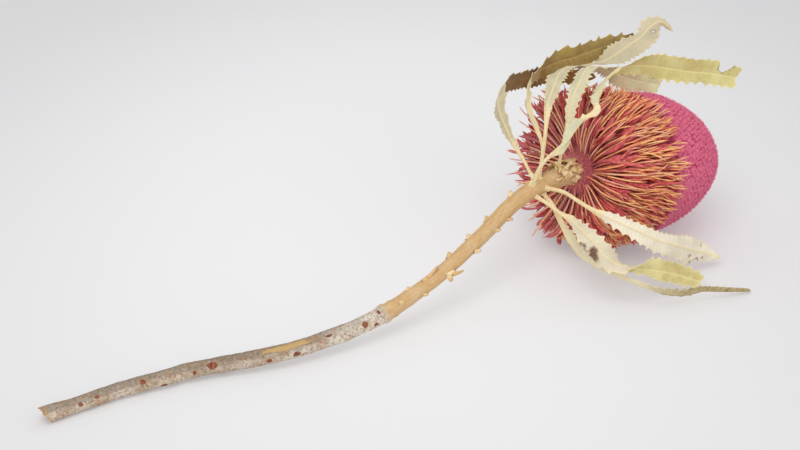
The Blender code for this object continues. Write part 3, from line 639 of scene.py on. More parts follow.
def perianth_paint():
    tint = linear((255, 190, 200))
    paint = Paint("perianth_felt", 0.75, Sheen_Weight=0.5, Sheen_Roughness=0.4, Sheen_Tint=tint)
    body = paint.mix(paint.steps("vary", 0.0, 1.0), (208, 64, 72), (236, 112, 110))
    body = paint.tints(body, ("vary", 0.72, 1.0, 0.7, (218, 110, 98)))
    body = paint.mix(paint.steps("vary", 0.0, 0.1, 0.7, 0.0), body, (150, 66, 54))
    mottle = paint.noise(0.5, 4.0, 0.7)
    colour = paint.tints(
        paint.mix(paint.steps("along", 0.1, 0.75), (154, 38, 44), body),
        ("along", 0.85, 1.0, 0.5, (222, 128, 130)),
        (mottle, 0.45, 0.65, 0.6, (158, 40, 50)),
        (mottle, 0.45, 0.3, 0.45, (232, 118, 128)),
    )
    colour = paint.mix(paint.times("pale", 0.45), colour, (216, 142, 142))
    return paint.finish(colour, paint.noise(2.5), 0.12)


def hair_paint(name, dark, light):
    paint = Paint(name, 0.8, Sheen_Weight=0.3)
    colour = paint.mix("vary", dark, light)
    speck = paint.noise(0.6)
    return paint.finish(paint.tints(colour, (speck, 0.4, 0.7, 0.3, light)))


def bud_paint():
    tint = linear((255, 178, 205))
    paint = Paint("bud_felt", 0.85, Sheen_Weight=0.45, Sheen_Roughness=0.35, Sheen_Tint=tint)
    body = paint.mix("vary", (200, 72, 110), (213, 93, 127))
    colour = paint.mix(paint.steps("rise", 0.1, 0.7), (194, 62, 100), body)
    speck = paint.noise(1.6, 4.0, 0.7)
    tip = paint.times(paint.steps("rise", 0.7, 1.0), paint.steps(speck, 0.38, 0.62))
    colour = paint.mix(paint.times(tip, 0.5), colour, (242, 160, 176))
    colour = paint.tints(colour, (paint.noise(0.06), 0.4, 0.65, 0.3, (214, 90, 136)))
    return paint.finish(colour, paint.noise(3.5, 4.0), 0.16)


def core_paint():
    paint = Paint("core_wool", 0.9, Sheen_Weight=0.3)
    speck = paint.noise(0.9, 5.0, 0.7)
    deep = paint.mix(speck, (104, 26, 32), (158, 50, 56))
    near = paint.mix(speck, (186, 56, 88), (218, 104, 122))
    return paint.finish(paint.mix(paint.steps("along", 0.5, 5.0), near, deep), speck, 0.5)


def stem_paint():
    """Old grey bark with scars, a bare patch and the cut, and tan young wood past the ring."""
    paint = Paint("stem_bark", 0.82)
    spot = paint.add("CombineXYZ", {"X": "run", "Y": "turn", "Z": 0.0})
    long_grain = paint.add("Mapping", {"Vector": spot, "Scale": (0.12, 1.0, 1.0)})
    coarse = paint.noise(0.12, 5.0, 0.65)
    fine = paint.noise(0.9, 5.0, 0.7)
    flecks = paint.noise(0.24, 6.0, 0.75)
    grain = paint.noise(1.6, 5.0, 0.65, long_grain)
    blotches = paint.noise(0.3, 4.0, 0.6, spot)

    def flecked(value):
        return paint.math("MULTIPLY_ADD", flecks, 0.9, paint.math("ADD", value, -0.45))

    high = flecked(paint.add("SeparateXYZ", {0: paint.add("NewGeometry", {}, out="Normal")}, out="Z"))
    old = paint.mix(paint.steps(coarse, 0.36, 0.62), (194, 172, 146), (226, 213, 196))
    old = paint.tints(old, (high, 0.25, 0.8, 0.85, (142, 128, 112)))
    middle = paint.times(paint.steps("run", 56, 70), paint.steps("run", 112, 92))
    old = paint.mix(paint.times(middle, 0.3), old, (128, 102, 76))
    pale = paint.times(paint.steps("run", 118, 146), paint.steps(coarse, 0.3, 0.6, 0.3, 0.8))
    old = paint.tints(
        paint.mix(pale, old, (240, 232, 216)),
        (blotches, 0.56, 0.68, 0.5, (150, 112, 84)),
        (flecks, 0.5, 0.6, 0.65, (174, 128, 90)),
        (fine, 0.5, 0.6, 0.55, (108, 88, 72)),
        (fine, 0.44, 0.34, 0.35, (226, 214, 196)),
        (grain, 0.56, 0.74, 0.35, (218, 204, 184)),
    )
    bare = paint.mix(grain, (176, 138, 84), (214, 184, 124))
    young = paint.tints(
        paint.mix(paint.steps(grain, 0.3, 0.7), (198, 156, 102), (222, 188, 138)),
        (coarse, 0.45, 0.7, 0.6, (222, 196, 156)),
        (flecks, 0.56, 0.7, 0.6, (182, 136, 90)),
        (fine, 0.6, 0.8, 0.35, (240, 214, 168)),
    )
    centre = paint.mix(paint.steps(fine, 0.4, 0.65), (116, 60, 42), (176, 108, 78))
    scar = paint.times(flecked("scar"), paint.steps("scar", 0.0, 0.12))
    colour = paint.tints(
        paint.mix("age", paint.mix("bare", old, bare), young),
        (scar, 0.02, 0.2, 0.6, (212, 186, 158)),
        (scar, 0.18, 0.3, 0.8, (120, 88, 70)),
        (scar, 0.28, 0.5, 1.0, centre),
    )
    wood = paint.mix(paint.steps(fine, 0.4, 0.6), (150, 100, 58), (222, 180, 124))
    colour = paint.mix("cut", colour, wood)
    return paint.finish(colour, paint.math("ADD", paint.times(grain, 0.7), paint.times(fine, 0.5)), 0.5)


def nub_paint():
    paint = Paint("stem_stubs", 0.8)
    fine = paint.noise(0.9, 5.0, 0.7)
    body = paint.mix("vary", (218, 178, 120), (246, 222, 174))
    tip = paint.mix(fine, (158, 108, 62), (236, 208, 166))
    colour = paint.tints(
        body,
        (fine, 0.5, 0.66, 0.5, (156, 104, 56)),
        ("along", 0.6, 1.0, 1.0, tip),
    )
    return paint.finish(colour, fine, 0.3)


def leaf_paint(name, colour, shade, rib_colour, pitch, seed, upper):
    """One side of a leaf: mottled, with a pale midrib, side veins to each tooth and a rim."""
    paint = Paint(name, 0.5 if upper else 0.72)
    spot = paint.add("CombineXYZ", {"X": "length", "Y": "width", "Z": float(seed)})
    long_way = paint.add("Mapping", {"Vector": spot, "Scale": (0.25, 1.0, 1.0)})
    coarse = paint.noise(0.09, 4.0, 0.6, spot)
    fine = paint.noise(1.1, 5.0, 0.7, spot)
    streaks = paint.noise(0.7, 4.0, 0.6, long_way)
    from_rib = paint.math("ABSOLUTE", "width")
    slant = paint.math("MULTIPLY_ADD", from_rib, -VEIN_SLANT, "length")
    beat = paint.math("PINGPONG", paint.math("DIVIDE", slant, pitch * 0.5), 0.5)
    vein = paint.steps(beat, 0.0, 0.13, 1.0, 0.0)
    small = paint.math("PINGPONG", paint.math("DIVIDE", slant, pitch * 0.125), 0.5)
    net = paint.steps(small, 0.0, 0.3, 1.0, 0.0)
    rib = paint.steps(from_rib, 0.25, 0.62, 1.0, 0.0)
    edge = paint.steps("edge", 0.0, 0.45, 1.0, 0.0)
    colour = paint.tints(
        colour,
        (coarse, 0.38, 0.66, 1.0, shade),
        (streaks, 0.45, 0.75, 0.35, shade),
        (fine, 0.5, 0.8, 0.3, rib_colour),
    )
    for line, share in ((vein, 0.16 if upper else 0.26), (rib, 0.45 if upper else 0.75), (edge, 0.4)):
        colour = paint.mix(paint.times(line, share), colour, rib_colour)
    aged = paint.mix(paint.steps(fine, 0.4, 0.62), (186, 168, 112), (132, 104, 62))
    colour = paint.mix(paint.times("aged", 0.85), colour, aged)
    stalk = paint.mix(paint.steps(streaks, 0.35, 0.65), (232, 206, 154), (246, 228, 182))
    colour = paint.mix(paint.steps("blade", 0.0, 0.7, 1.0, 0.0), colour, stalk)
    brown = paint.times("brown", paint.steps(fine, 0.3, 0.5, 0.55, 1.0))
    colour = paint.mix(brown, colour, (108, 70, 40))
    height = paint.math("ADD", paint.times(vein, -0.5 if upper else 0.5), paint.times(fine, 0.35))
    return paint.finish(colour, paint.math("MULTIPLY_ADD", net, 0.12, height), 0.18)


def floret_lines(count, first_angle, sunk):
    """Level, place along the axis, angle and root radius of florets in their spiral rows."""
    level = (np.arange(count) + 0.5) / count
    along = ZONE_START + (ZONE_END - ZONE_START) * level
    return level, along, (np.arange(count) * GOLDEN + first_angle) % 360, core_radius(along) - sunk


def build_styles():
    """The orange styles, which spring from the core between the perianths."""
    draws = np.random.default_rng(4)
    n = STYLES
    level, along, angle, root = floret_lines(n, 0, 0.6)
    pull = gather(angle, along, draws)
    sway = draws.normal(0, 5, n)
    reach = np.clip(1.0 - np.abs(draws.normal(0, 0.12, n)), 0.66, 1.0)
    loose = draws.normal(0, 1, (n, 2)) * (3.0, 1.6)
    path = fan_paths(level, angle, sway, root, reach, STYLE_POINTS, pull, loose)
    t = np.linspace(0, 1, STYLE_POINTS)
    hook = (np.clip(t - 0.75, 0, 1) * 4) ** 2
    points = stray(head_points(*path), draws, (0.75, t**1.5), (0.25, np.sin(t * math.pi * 1.2)), (0.35, hook))
    keep_above(points, STYLE_CLEAR)
    profile = np.interp(t, (0, 0.3, 0.8, 0.93, 0.985, 1), (1.2, 1.1, 0.8, 0.85, 0.72, 0.12))
    radii = STYLE_RADIUS * profile[None] * draws.uniform(0.85, 1.15, (n, 1))
    behind = np.clip(-path[0][:, -1] / 5.0, 0, 1)
    pale = np.maximum(draws.uniform(0, 1, n) ** 5, behind * draws.uniform(0.3, 0.9, n))
    vary = draws.uniform(0, 1, n)
    shape = Shape("along", "vary", "pale")
    tube = tubes(points, radii, STYLE_SIDES)
    shape.add(*tube, along=np.tile(t, n), vary=vary, pale=pale)
    shape.piece("styles", "rachis_and_styles", "style_orange", style_paint())


def build_perianths():
    """The felted rose perianths: narrow straps that end in a small pointed spoon."""
    draws = np.random.default_rng(9)
    n = PERIANTHS
    k = PERIANTH_POINTS
    level, along, angle, root = floret_lines(n, 63, -0.2)
    pull = gather(angle, along, np.random.default_rng(4))
    sway = draws.normal(0, 8, n)
    reach = np.clip(draws.normal(0.8, 0.1, n) - 0.08 * nearness(angle), 0.45, 0.94)
    along, out, turn = fan_paths(level, angle, sway, root, reach, k, pull)
    out = root[:, None] + (out - root[:, None]) * PERIANTH_DEPTH
    t = np.linspace(0, 1, k)
    curl = np.clip(t / 0.4 - 1.5, 0, 1) ** 2
    bends = (0.8, t**1.3), (0.6, np.sin(t * math.pi * 2)), (1.2, curl)
    points = stray(head_points(along, out, turn), draws, *bends)
    keep_above(points, PERIANTH_CLEAR)
    profile = np.interp(t, (0, 0.25, 0.5, 0.68, 0.85, 0.95, 1), (0.4, 0.42, 0.6, 0.85, 1.15, 0.7, 0.05))
    radii = profile[None] * draws.uniform(0.75, 1.3, (n, 1)) * draws.uniform(0.8, 1.2, (n, k))
    spin = draws.normal(0, 0.5, (n, 1)) + draws.normal(0, 1.4, (n, 1)) * t[None]
    shade = draws.uniform(0, 1, n)
    behind = np.clip(-along[:, -1] / 6.0, 0, 1)
    shape = Shape("along", "vary", "pale")
    straps = tubes(points, radii, PERIANTH_SIDES, round_ways(angle), 0.42, spin)
    shape.add(*straps, along=np.tile(t, n), vary=shade, pale=behind)
    shape.piece("perianths_felted", "perianths", "perianth_rose", perianth_paint())
    count = n * PERIANTH_HAIRS
    who = np.repeat(np.arange(n), PERIANTH_HAIRS)
    at = draws.uniform(0.45, 1.0, count) * (k - 1)
    low = np.minimum(at.astype(int), k - 2)
    part = (at - low)[:, None]
    foot, head = points[who, low], points[who, low + 1]
    ways = unit(unit(head - foot) + draws.normal(0, 0.7, (count, 3)))
    lengths = draws.uniform(0.8, 2.4, count)
    paint = hair_paint("perianth_hair", (206, 78, 98), (240, 164, 164))
    build_hairs("perianth_hairs", "perianths", "perianth_rose", paint, draws,
                foot * (1 - part) + head * part, ways, lengths, 0.15)


def dome_outline(count):
    """The dome's outline from its rim to its tip: distance along the axis and radius."""
    s = np.linspace(0, 1, count)
    along = DOME_RIM + (DOME_TIP - DOME_RIM) * np.sin(s * math.pi / 2)
    back = (DOME_WIDEST - along) / (DOME_WIDEST - DOME_RIM)
    front = (along - DOME_WIDEST) / (DOME_TIP - DOME_WIDEST)
    wide = DOME_RADIUS - (DOME_RADIUS - DOME_RIM_RADIUS) * back**2
    tight = DOME_RADIUS * np.maximum(0.0, 1 - np.maximum(front, 0) ** 2) ** 0.47
    return along, np.where(along < DOME_WIDEST, wide, tight)


def dome_points(along, out, angle):
    """Points of the dome, which sags to the table underneath."""
    sag = DOME_SAG * np.maximum(0, -np.cos(np.radians(angle))) ** 2
    above = np.maximum(0, np.cos(np.radians(angle - DOME_FULLER_ANGLE))) ** 2
    below = np.maximum(0, np.cos(np.radians(angle - DOME_SLIGHTER_ANGLE))) ** 2
    shift = np.interp(along, *DOME_FULLER) * above - np.interp(along, *DOME_SLIGHTER) * below
    return head_points(along, np.maximum(out * (1 + sag) + shift, 0.01), angle)


def bud_places(draws):
    """Where the buds stand in their spiral rows, and their ways out, round and forward."""
    along, out = dome_outline(600)
    steps = np.hypot(np.diff(along), np.diff(out))
    area = np.concatenate([[0.0], np.cumsum(2 * math.pi * (out[1:] + out[:-1]) / 2 * steps)])
    share = area[-1] * (np.arange(BUDS) + 0.5) / BUDS
    ring = np.maximum(np.interp(share, area, out), 4.0)
    share = np.clip(share + draws.normal(0, BUD_STRAY, BUDS) * 2 * math.pi * ring, 0, area[-1])
    angle = (BUDS - np.arange(BUDS)) * GOLDEN % 360 + np.degrees(draws.normal(0, BUD_STRAY, BUDS) / ring)
    along_here = np.interp(share, area, along)
    place = dome_points(along_here, np.interp(share, area, out), angle)
    centre = HEAD_BASE + np.minimum(along_here, DOME_WIDEST)[:, None] * AXIS
    up = unit(place - centre)
    around = square_to(round_ways(angle), up)
    forward = np.cross(up, around)
    return place, up, around, np.where((forward @ AXIS)[:, None] < 0, -forward, forward)


def add_buds(shape, draws, place, up, around, forward):
    """The buds, each a small knob of rings that closes over its top."""
    size = draws.uniform(0.86, 1.14, BUDS)
    tall = draws.uniform(0.7, 1.2, BUDS)
    lean = draws.normal(0, 0.16, (BUDS, 3)) + 0.22 * forward
    turn = ring_turns(BUD_SIDES)
    ring = around[:, None] * np.cos(turn)[:, None] + forward[:, None] * (1.1 * np.sin(turn))[:, None]
    rings = []
    for height, radius in BUD_RINGS:
        level = place + up * (height * tall)[:, None] + lean * max(height, 0)
        rings.append(level[:, None] + ring * (radius * size)[:, None, None])
    top = place + up * (BUD_TOP * tall)[:, None] + lean * BUD_TOP
    points = np.concatenate([*rings, top[:, None]], axis=1)
    heights = np.array(BUD_RINGS)[:, 0]
    rise = np.append(np.repeat(np.clip((heights + 0.6) / 1.4, 0, 1), BUD_SIDES), 1.0)
    each = points.shape[1]
    first = (np.arange(BUDS) * each)[:, None, None]
    last = np.arange(each - 1 - BUD_SIDES, each - 1)
    cap = np.stack([last, np.roll(last, -1), np.full(BUD_SIDES, each - 1)], -1)
    quads = grid_quads(len(BUD_RINGS), BUD_SIDES)
    shape.add(points, (quads + first).reshape(-1, 4), (cap + first).reshape(-1, 3),
              rise=np.tile(rise, BUDS), vary=draws.uniform(0, 1, BUDS))


def build_dome():
    """The dome of closed buds, each a small felted knob, in the rows that they grow in."""
    draws = np.random.default_rng(6)
    place, up, around, forward = bud_places(draws)
    shape = Shape("rise", "vary")
    add_buds(shape, draws, place, up, around, forward)
    along, out = (np.concatenate(rows) for rows in zip(DOME_FOOT, dome_outline(46)))
    angles = 360 * np.arange(DOME_ROUNDS) / DOME_ROUNDS
    skin = dome_points(along[:, None], np.maximum(out - 0.2, 0.01)[:, None], angles[None])
    keep_above(skin, 0.05)
    shape.add(skin, inward_quads(*skin.shape[:2]), vary=0.4)
    shape.piece("bud_dome_felted", "bud_dome", "bud_magenta", bud_paint())
    up, place = np.repeat(up, BUD_HAIRS, axis=0), np.repeat(place, BUD_HAIRS, axis=0)
    spread = draws.normal(0, 1, up.shape)
    roots = place + up * 0.1 + unit(up + spread * 0.8) * 0.75
    lengths = draws.uniform(0.35, 1.0, len(up))
    paint = hair_paint("bud_hair", (218, 98, 134), (240, 160, 180))
    build_hairs("bud_hairs", "bud_dome", "bud_magenta", paint, draws,
                roots, unit(up * 1.3 + spread * 0.6), lengths, 0.09, 0.02)


def away_from_axis(points, along):
    """Directions straight out from the head's axis, for points so far along it."""
    return unit(points - HEAD_BASE - along[..., None] * AXIS)


def build_core():
    """The woolly core that the florets spring from, with its tuft at the neck."""
    draws = np.random.default_rng(3)
    along = np.linspace(-1.2, CORE_END, 54)
    angle = 360 * np.arange(CORE_ROUNDS) / CORE_ROUNDS
    out = core_radius(along)
    out[0] = 3.0
    skin = head_points(along[:, None], out[:, None], angle[None])
    bumps = noise_at(skin, 0.5).reshape(skin.shape[:2])
    skin = skin + away_from_axis(skin, along[:, None]) * (bumps * 0.7)[..., None]
    shape = Shape("along", "vary")
    shape.add(skin, inward_quads(*skin.shape[:2]), along=along, vary=0.5)
    n = WOOL_HAIRS
    at = draws.uniform(-1.0, 8.5, n)
    roots = head_points(at, core_radius(at) - 0.2, draws.uniform(0, 360, n))
    ways = unit(away_from_axis(roots, at) + AXIS * -0.35 + draws.normal(0, 0.45, (n, 3)))
    hairs = hair_triangles(roots, ways, draws.uniform(1.2, 4.4, n), 0.24, draws)
    pale = np.clip(1 - at / 6.0 + draws.normal(0, 0.2, n), 0, 1)
    shape.add(*hairs, slot=1, vary=pale)
    wool = hair_paint("neck_wool", (176, 48, 70), (236, 146, 146))
    shape.piece("core_woolly", "rachis_and_styles", "style_orange", core_paint(), wool)


class Stem:
    """The stem's middle line: at each ring its point, radius, running length and directions."""

    def __init__(self):
        line = smooth_line(STEM_LINE, STEM_RINGS)
        self.points, self.radii = line[:, :3], line[:, 3]
        self.run = run_of(self.points)
        frames = tube_frames(self.points[None], np.array([[0.0, 0.0, 1.0]]))
        self.way, across, other = (rows[0] for rows in frames)
        self.turn = ring_turns(STEM_SIDES)
        self.out = across[:, None] * np.cos(self.turn)[:, None] + other[:, None] * np.sin(self.turn)[:, None]

    def spot(self, at, offset):
        """The middle, radius, way along and way out of the stem at a length along it and a
        place across it, from -1 above to 1 below. Numbers beyond 1 run on round the back."""
        i = int(np.searchsorted(self.run, at))
        way = self.way[i]
        facing = unit(SEEN_FROM - way * (SEEN_FROM @ way))
        down = np.cross(way, facing)
        if down[2] > 0:
            down = -down
        turn = math.copysign(math.asin(min(abs(offset), 1.0)) + max(abs(offset) - 1, 0), offset)
        return self.points[i], self.radii[i], way, facing * math.cos(turn) + down * math.sin(turn)

    def far_from(self, at, offset, half_length, half_width):
        """How far the bark is from a spot, where 1 is the spot's edge."""
        _, radius, _, aim = self.spot(at, offset)
        arc = np.arccos(np.clip((self.out * aim).sum(-1), -1, 1)) * radius
        return np.hypot((self.run - at)[:, None] / half_length, arc / half_width)

    def bark_noise(self, grain, shift, spread):
        """Noise over the bark, with its grain along the stem and its spread round it."""
        ways = [(math.cos(t) * spread, math.sin(t) * spread) for t in self.turn]
        return np.array([[noise.noise(Vector((s * grain + shift, *way))) for way in ways] for s in self.run])


def bump_at(run, at, width):
    return np.exp(-(((run - at) / width) ** 2))


def bark_skin(stem, age):
    """The bark's radius with its cracks, the ring and the scars, and its scar and bare marks."""
    lumps = stem.bark_noise(0.11, 0, 0.9)
    ribs = stem.bark_noise(0.05, 40, 3.4) + 0.6 * stem.bark_noise(0.5, 90, 4.5)
    rough = (0.42 * (1 - age) + 0.22 * age)[:, None]
    ribbed = (0.2 * (1 - age) + 0.13 * age)[:, None]
    flare = CUT_FLARE * np.exp(-stem.run / 9.0)[:, None]
    radius = stem.radii[:, None] - 0.1 + flare + rough * lumps + ribbed * ribs
    collar = 0.75 * bump_at(stem.run, STEM_RING_AT, 1.9) + 0.3 * bump_at(stem.run, STEM_RING_AT + 5, 1.2)
    radius = radius + collar[:, None]
    scar = np.zeros(radius.shape)
    for spot in SCARS:
        far = stem.far_from(*spot) * (1 + 0.3 * lumps + 0.3 * ribs)
        scar = np.maximum(scar, np.clip(1.45 - far, 0, 1))
        radius = radius + 0.34 * bump_at(far, 1.1, 0.28) - 0.3 * np.clip(1 - far, 0, 1) ** 0.5
    bare = np.clip((1.15 - stem.far_from(*BARE_PATCH) * (1 + 0.5 * ribs)) * 4, 0, 1)
    return radius - 0.25 * bare, scar, bare


def build_stem():
    """The stem: cracked grey old wood, a ring, then tan young wood with stubs and a spur."""
    draws = random.Random(21)
    stem = Stem()
    run, way, n = stem.run, stem.way, STEM_SIDES
    age = 1 / (1 + np.exp(-(run - STEM_RING_AT) / 0.6))
    radius, scar, bare = bark_skin(stem, age)
    skin = stem.points[:, None] + stem.out * radius[..., None]
    cut = np.zeros(radius.shape)
    slant = stem.out[0, :, 2] * CUT_SLANT
    ragged = np.array([draws.uniform(-0.7, 0.7) for _ in range(n)])
    for i in range(CUT_RINGS):
        fade = 1 - i / CUT_RINGS
        skin[i] -= way[i] * ((slant + ragged) * fade)[:, None]
        cut[i] = 0.9 * fade**2
    keep_above(skin, 0.0)
    shape = Shape("run", "turn", "age", "scar", "bare", "cut", "along", "vary")
    shape.add(skin, grid_quads(*radius.shape), run=run, turn=np.tile(stem.turn * 4, len(run)), age=age,
              scar=scar, bare=bare, cut=cut)
    rim = skin[0]
    middle = rim.mean(axis=0)
    face = [rim]
    for share in CUT_FACE:
        jag = np.array([draws.uniform(-0.45, 0.45) for _ in range(n)])
        face.append(middle + (rim - middle) * share + way[0] * (jag + 0.5)[:, None])
    face.append(np.repeat([middle + way[0] * 0.6], n, axis=0))
    shape.add(face, inward_quads(len(face), n), run=np.arange(len(face)) * 3.0,
              turn=np.tile(stem.turn * 4, len(face)), cut=1.0)
    add_stubs(shape, draws, stem)
    add_bracts(shape, draws)
    shape.piece("stem_bark", "stem", "stem_wood", stem_paint(), nub_paint())


def add_stubs(shape, draws, stem):
    """The stubs of old leaves, the side shoot and the forked spur."""
    stubs = []
    for at, offset, height in NUBS:
        middle, radius, way, out = stem.spot(at, offset)
        foot = middle + out * (radius - 0.8) - way * 1.2
        tip = middle + out * (radius + height) + way * draws.uniform(0.8, 2.0)
        stubs.append((foot, tip, draws.uniform(1.2, 1.7), draws.uniform(0.7, 1.1)))
    middle, radius, way, out = stem.spot(*SHOOT_AT)
    foot = middle + out * (radius - 0.7)
    stubs.append((foot, foot + out * 2.7 + way * 10.5, 1.5, 0.8))
    middle, radius, way, out = stem.spot(*SPUR_AT)
    knot = middle + out * (radius + 0.6) + way * 1.0
    stubs.append((middle + out * (radius - 1.5) - way * 3, knot + way * 1.4, 2.3, 1.7))
    stubs.append((knot - way * 1.4, knot + out * 2.6 + way * 4.2, 1.5, 0.55))
    stubs.append((knot - way * 3.4, knot + out * 2.5 - way * 3.8, 1.7, 1.25))
    t = np.linspace(0, 1, 7)
    for foot, tip, wide, narrow in stubs:
        bow = np.cross(unit(tip - foot), SEEN_FROM)
        path = foot + (tip - foot) * t[:, None] + bow * (0.3 * np.sin(t * math.pi))[:, None]
        radii = np.interp(t, (0, 0.35, 0.9, 0.97, 1), (wide, wide * 0.85, narrow, narrow * 0.8, 0.02))
        stub = rough_tube(path, radii, STUB_SIDES, 0.72, 1.4, 0.35)
        shape.add(*stub, slot=1, along=t, vary=draws.uniform(0, 1))


def add_bracts(shape, draws):
    """The small pointed bracts that close round the neck."""
    t = np.linspace(0, 1, 9)
    for angle in np.arange(BRACTS) * GOLDEN:
        level = draws.uniform(0, 1)
        bend = draws.uniform(-35, 35)
        along = -15.5 + 13.5 * level + draws.uniform(2.0, 4.2) * t
        out = 4.3 + 0.6 * level + (0.5 + 1.4 * level) * t**1.3 + draws.uniform(-0.3, 0.5)
        path = head_points(along, out, angle + bend * t)
        width = draws.uniform(0.7, 1.5)
        radii = np.interp(t, (0, 0.3, 0.6, 0.85, 1), (width * 0.8, width, width * 0.9, width * 0.55, 0.03))
        bract = rough_tube(path, radii, BRACT_SIDES, 0.6, 0.9, 0.7, round_ways(np.array([angle])))
        shape.add(*bract, slot=1, along=t * 0.9, vary=draws.uniform(0, 1))


def blade_share(halves):
    """How far a leaf is blade, from 0 on the stalk to 1, from its two half widths."""
    wide = 0.6 * halves.max(axis=-1) + 0.4 * halves.min(axis=-1)
    return np.clip((wide - 1.4) / 1.8, 0, 1)


def leaf_frame(name):
    """The leaf's midrib from where it leaves the stem, with its running length, half widths
    and the directions out of its underside and across it."""
    rows = []
    for along, out, angle, *widths, twist in LEAVES[name]:
        rows.append((*head_points(along, out, angle), angle, twist, *widths))
    middle = smooth_line(STEM_LINE, STALK_STOPS)
    nearest = int(np.argmin(np.linalg.norm(middle[:, :3] - np.array(rows[0][:3]), axis=1)))
    rows[0] = (*middle[nearest - 1, :3], *rows[0][3:])
    rows = smooth_line(rows, MIDRIB_POINTS)
    middle = smooth_line(STEM_LINE, STEM_RINGS)[::4]
    far = np.linalg.norm(rows[:, None, :3] - middle[None, :, :3], axis=2)
    off = far.min(axis=1) - middle[far.argmin(axis=1), 3]
    rows = rows[int(np.argmax(off > STALK_SUNK)):]
    spine = rows[:, :3]
    way = unit(np.gradient(spine, axis=0))
    face = np.cross(way, square_to(round_ways(rows[:, 3]), way))
    twist = np.radians(rows[:, 4])[:, None]
    under = face * np.cos(twist) + np.cross(way, face) * np.sin(twist)
    run = run_of(spine)
    halves = rows[:, 5:]
    if name in LEAF_WIDTHS:
        reach, *widths = np.array(LEAF_WIDTHS[name]).T
        halves = np.stack([np.interp(run, reach, row) for row in widths], 1)
    return spine, run, halves + 1.3 * np.exp(-run / STALK_FLARE)[:, None], under, np.cross(way, under)


def leaf_edge(half_at, length, finish, draws):
    """The leaf's edge as a loop of (along, across): plain on the stalk, toothed on the blade."""
    sides = []
    for sign, pitch, deep in zip((-1, 1), finish["pitch"], finish["depth"]):
        line = []
        s = 0.0
        while s < length - 0.8:
            half = half_at(s, sign)
            if half < 1.3:
                line.append((s, sign * half))
                s += 1.5
                continue
            step = pitch * draws.uniform(0.8, 1.2)
            depth = TOOTH_DEPTH * deep * min(1.0, (half - 1.0) / 2.2) * draws.uniform(0.65, 1.15)
            for share, rise in TOOTH:
                at = s + step * share
                if at > length - 0.4:
                    break
                line.append((at, sign * (half_at(at, sign) - 0.42 * depth + rise * depth)))
            s += step
        sides.append(line)
    ends = half_at(length, -1), half_at(length, 1)
    tip = [(length + 0.6, 0.0)]
    if sum(ends) > 4:
        tip = [(length + draws.uniform(-0.9, 0.8), ends[share > 0] * share) for share in TORN_END]
    return sides[1] + tip + sides[0][::-1]


def inside(points, loop):
    """Which of the points lie inside the loop."""
    x, y = points[:, 0][:, None], points[:, 1][:, None]
    a = np.array(loop)
    b = np.roll(a, -1, axis=0)
    run, rise = (b - a).T
    between = (a[:, 1] > y) != (b[:, 1] > y)
    crossing = a[:, 0] + (y - a[:, 1]) * run / np.where(rise == 0, 1e-9, rise)
    return (between & (x < crossing)).sum(axis=1) % 2 == 1


def leaf_grid(loop, cuts, half_at, length, draws):
    """The flat leaf as places (along, across) and triangles, without what is torn out of it."""
    flat = []
    edges = []
    for line in (loop, *cuts):
        start = len(flat)
        flat += [Vector(p) for p in line]
        edges += [(start + i, start + (i + 1) % len(line)) for i in range(len(line))]
    s = 0.5
    while s < length - 0.5:
        for sign in (1, -1):
            limit = 0.88 * half_at(s, sign) - 0.35
            for column in LEAF_COLUMNS[sign < 0:]:
                if column < limit or column == 0:
                    shift = draws.uniform(-0.12, 0.12) if column > 1 else 0.0
                    flat.append(Vector((s + shift, sign * (column + shift))))
        s += LEAF_STEP
    places, _, triangles, *_ = delaunay_2d_cdt(flat, edges, [], 0, 1e-6)
    places = np.array([tuple(p) for p in places])
    triangles = np.array([t for t in triangles if len(t) == 3])
    middle = places[triangles].mean(axis=1)
    keep = inside(middle, loop)
    for cut in cuts:
        keep &= ~inside(middle, cut)
    used, renumbered = np.unique(triangles[keep], return_inverse=True)
    return places[used], renumbered.reshape(-1, 3)


def leaf_skins(number, pitch, folds, along, wide, frame):
    """The lower and upper skin over the flat leaf's places, and how far each place is blade."""
    spine, run, halves, under, side = frame
    length = run[-1]
    reach = np.clip(along, 0, length)

    def at(rows):
        return np.stack([np.interp(reach, run, row) for row in rows.T], 1)

    both = at(halves)
    blade = blade_share(both)
    half = np.where(wide < 0, both[:, 0], both[:, 1])
    spine_at, under_at, side_at = at(spine), unit(at(under)), unit(at(side))
    share = np.clip(np.abs(wide) / half, 0, 1.3)
    phase = np.where(wide > 0, number * 1.7, number * 2.9 + 1)
    wave = 0.55 * share**2 * np.sin(along / 5.1 + phase) + 0.35 * share * np.sin(along / 2.3 + phase * 2)
    pleat = 0.10 * np.sin((along - VEIN_SLANT * np.abs(wide)) / pitch * 2 * math.pi) * share
    fold_along, *folded = np.array(folds, float).T
    left, right = (np.radians(np.interp(reach, fold_along, row)) for row in folded)
    fold = np.where(wide < 0, left, right) * np.minimum(2.5 * blade, 1)
    lift = -np.sin(fold) * np.abs(wide) + blade * (wave + pleat) * np.cos(fold)
    centre = spine_at + side_at * (wide * np.cos(fold))[:, None] + under_at * lift[:, None]
    centre = centre + at(unit(np.gradient(spine, axis=0))) * (along - reach)[:, None]
    stalk = np.sqrt(np.maximum(0.04, 1 - np.minimum(share, 1) ** 2))
    thick = LEAF_THIN * (0.6 + 0.4 * (1 - np.minimum(share, 1))) * blade
    thick = thick + (1 - blade) * (1.7 + 1.4 * np.exp(-reach / STALK_FLARE)) * stalk
    rib = (0.42 - 0.24 * reach / length) * np.exp(-((wide / 0.42) ** 2)) * blade
    groove = 0.12 * np.exp(-((wide / 0.3) ** 2)) * blade
    lower = centre + under_at * (thick / 2 + rib)[:, None]
    upper = centre - under_at * (thick / 2 - groove)[:, None]
    keep_above(lower, LEAF_CLEAR)
    keep_above(upper, LEAF_CLEAR)
    return lower, upper, blade


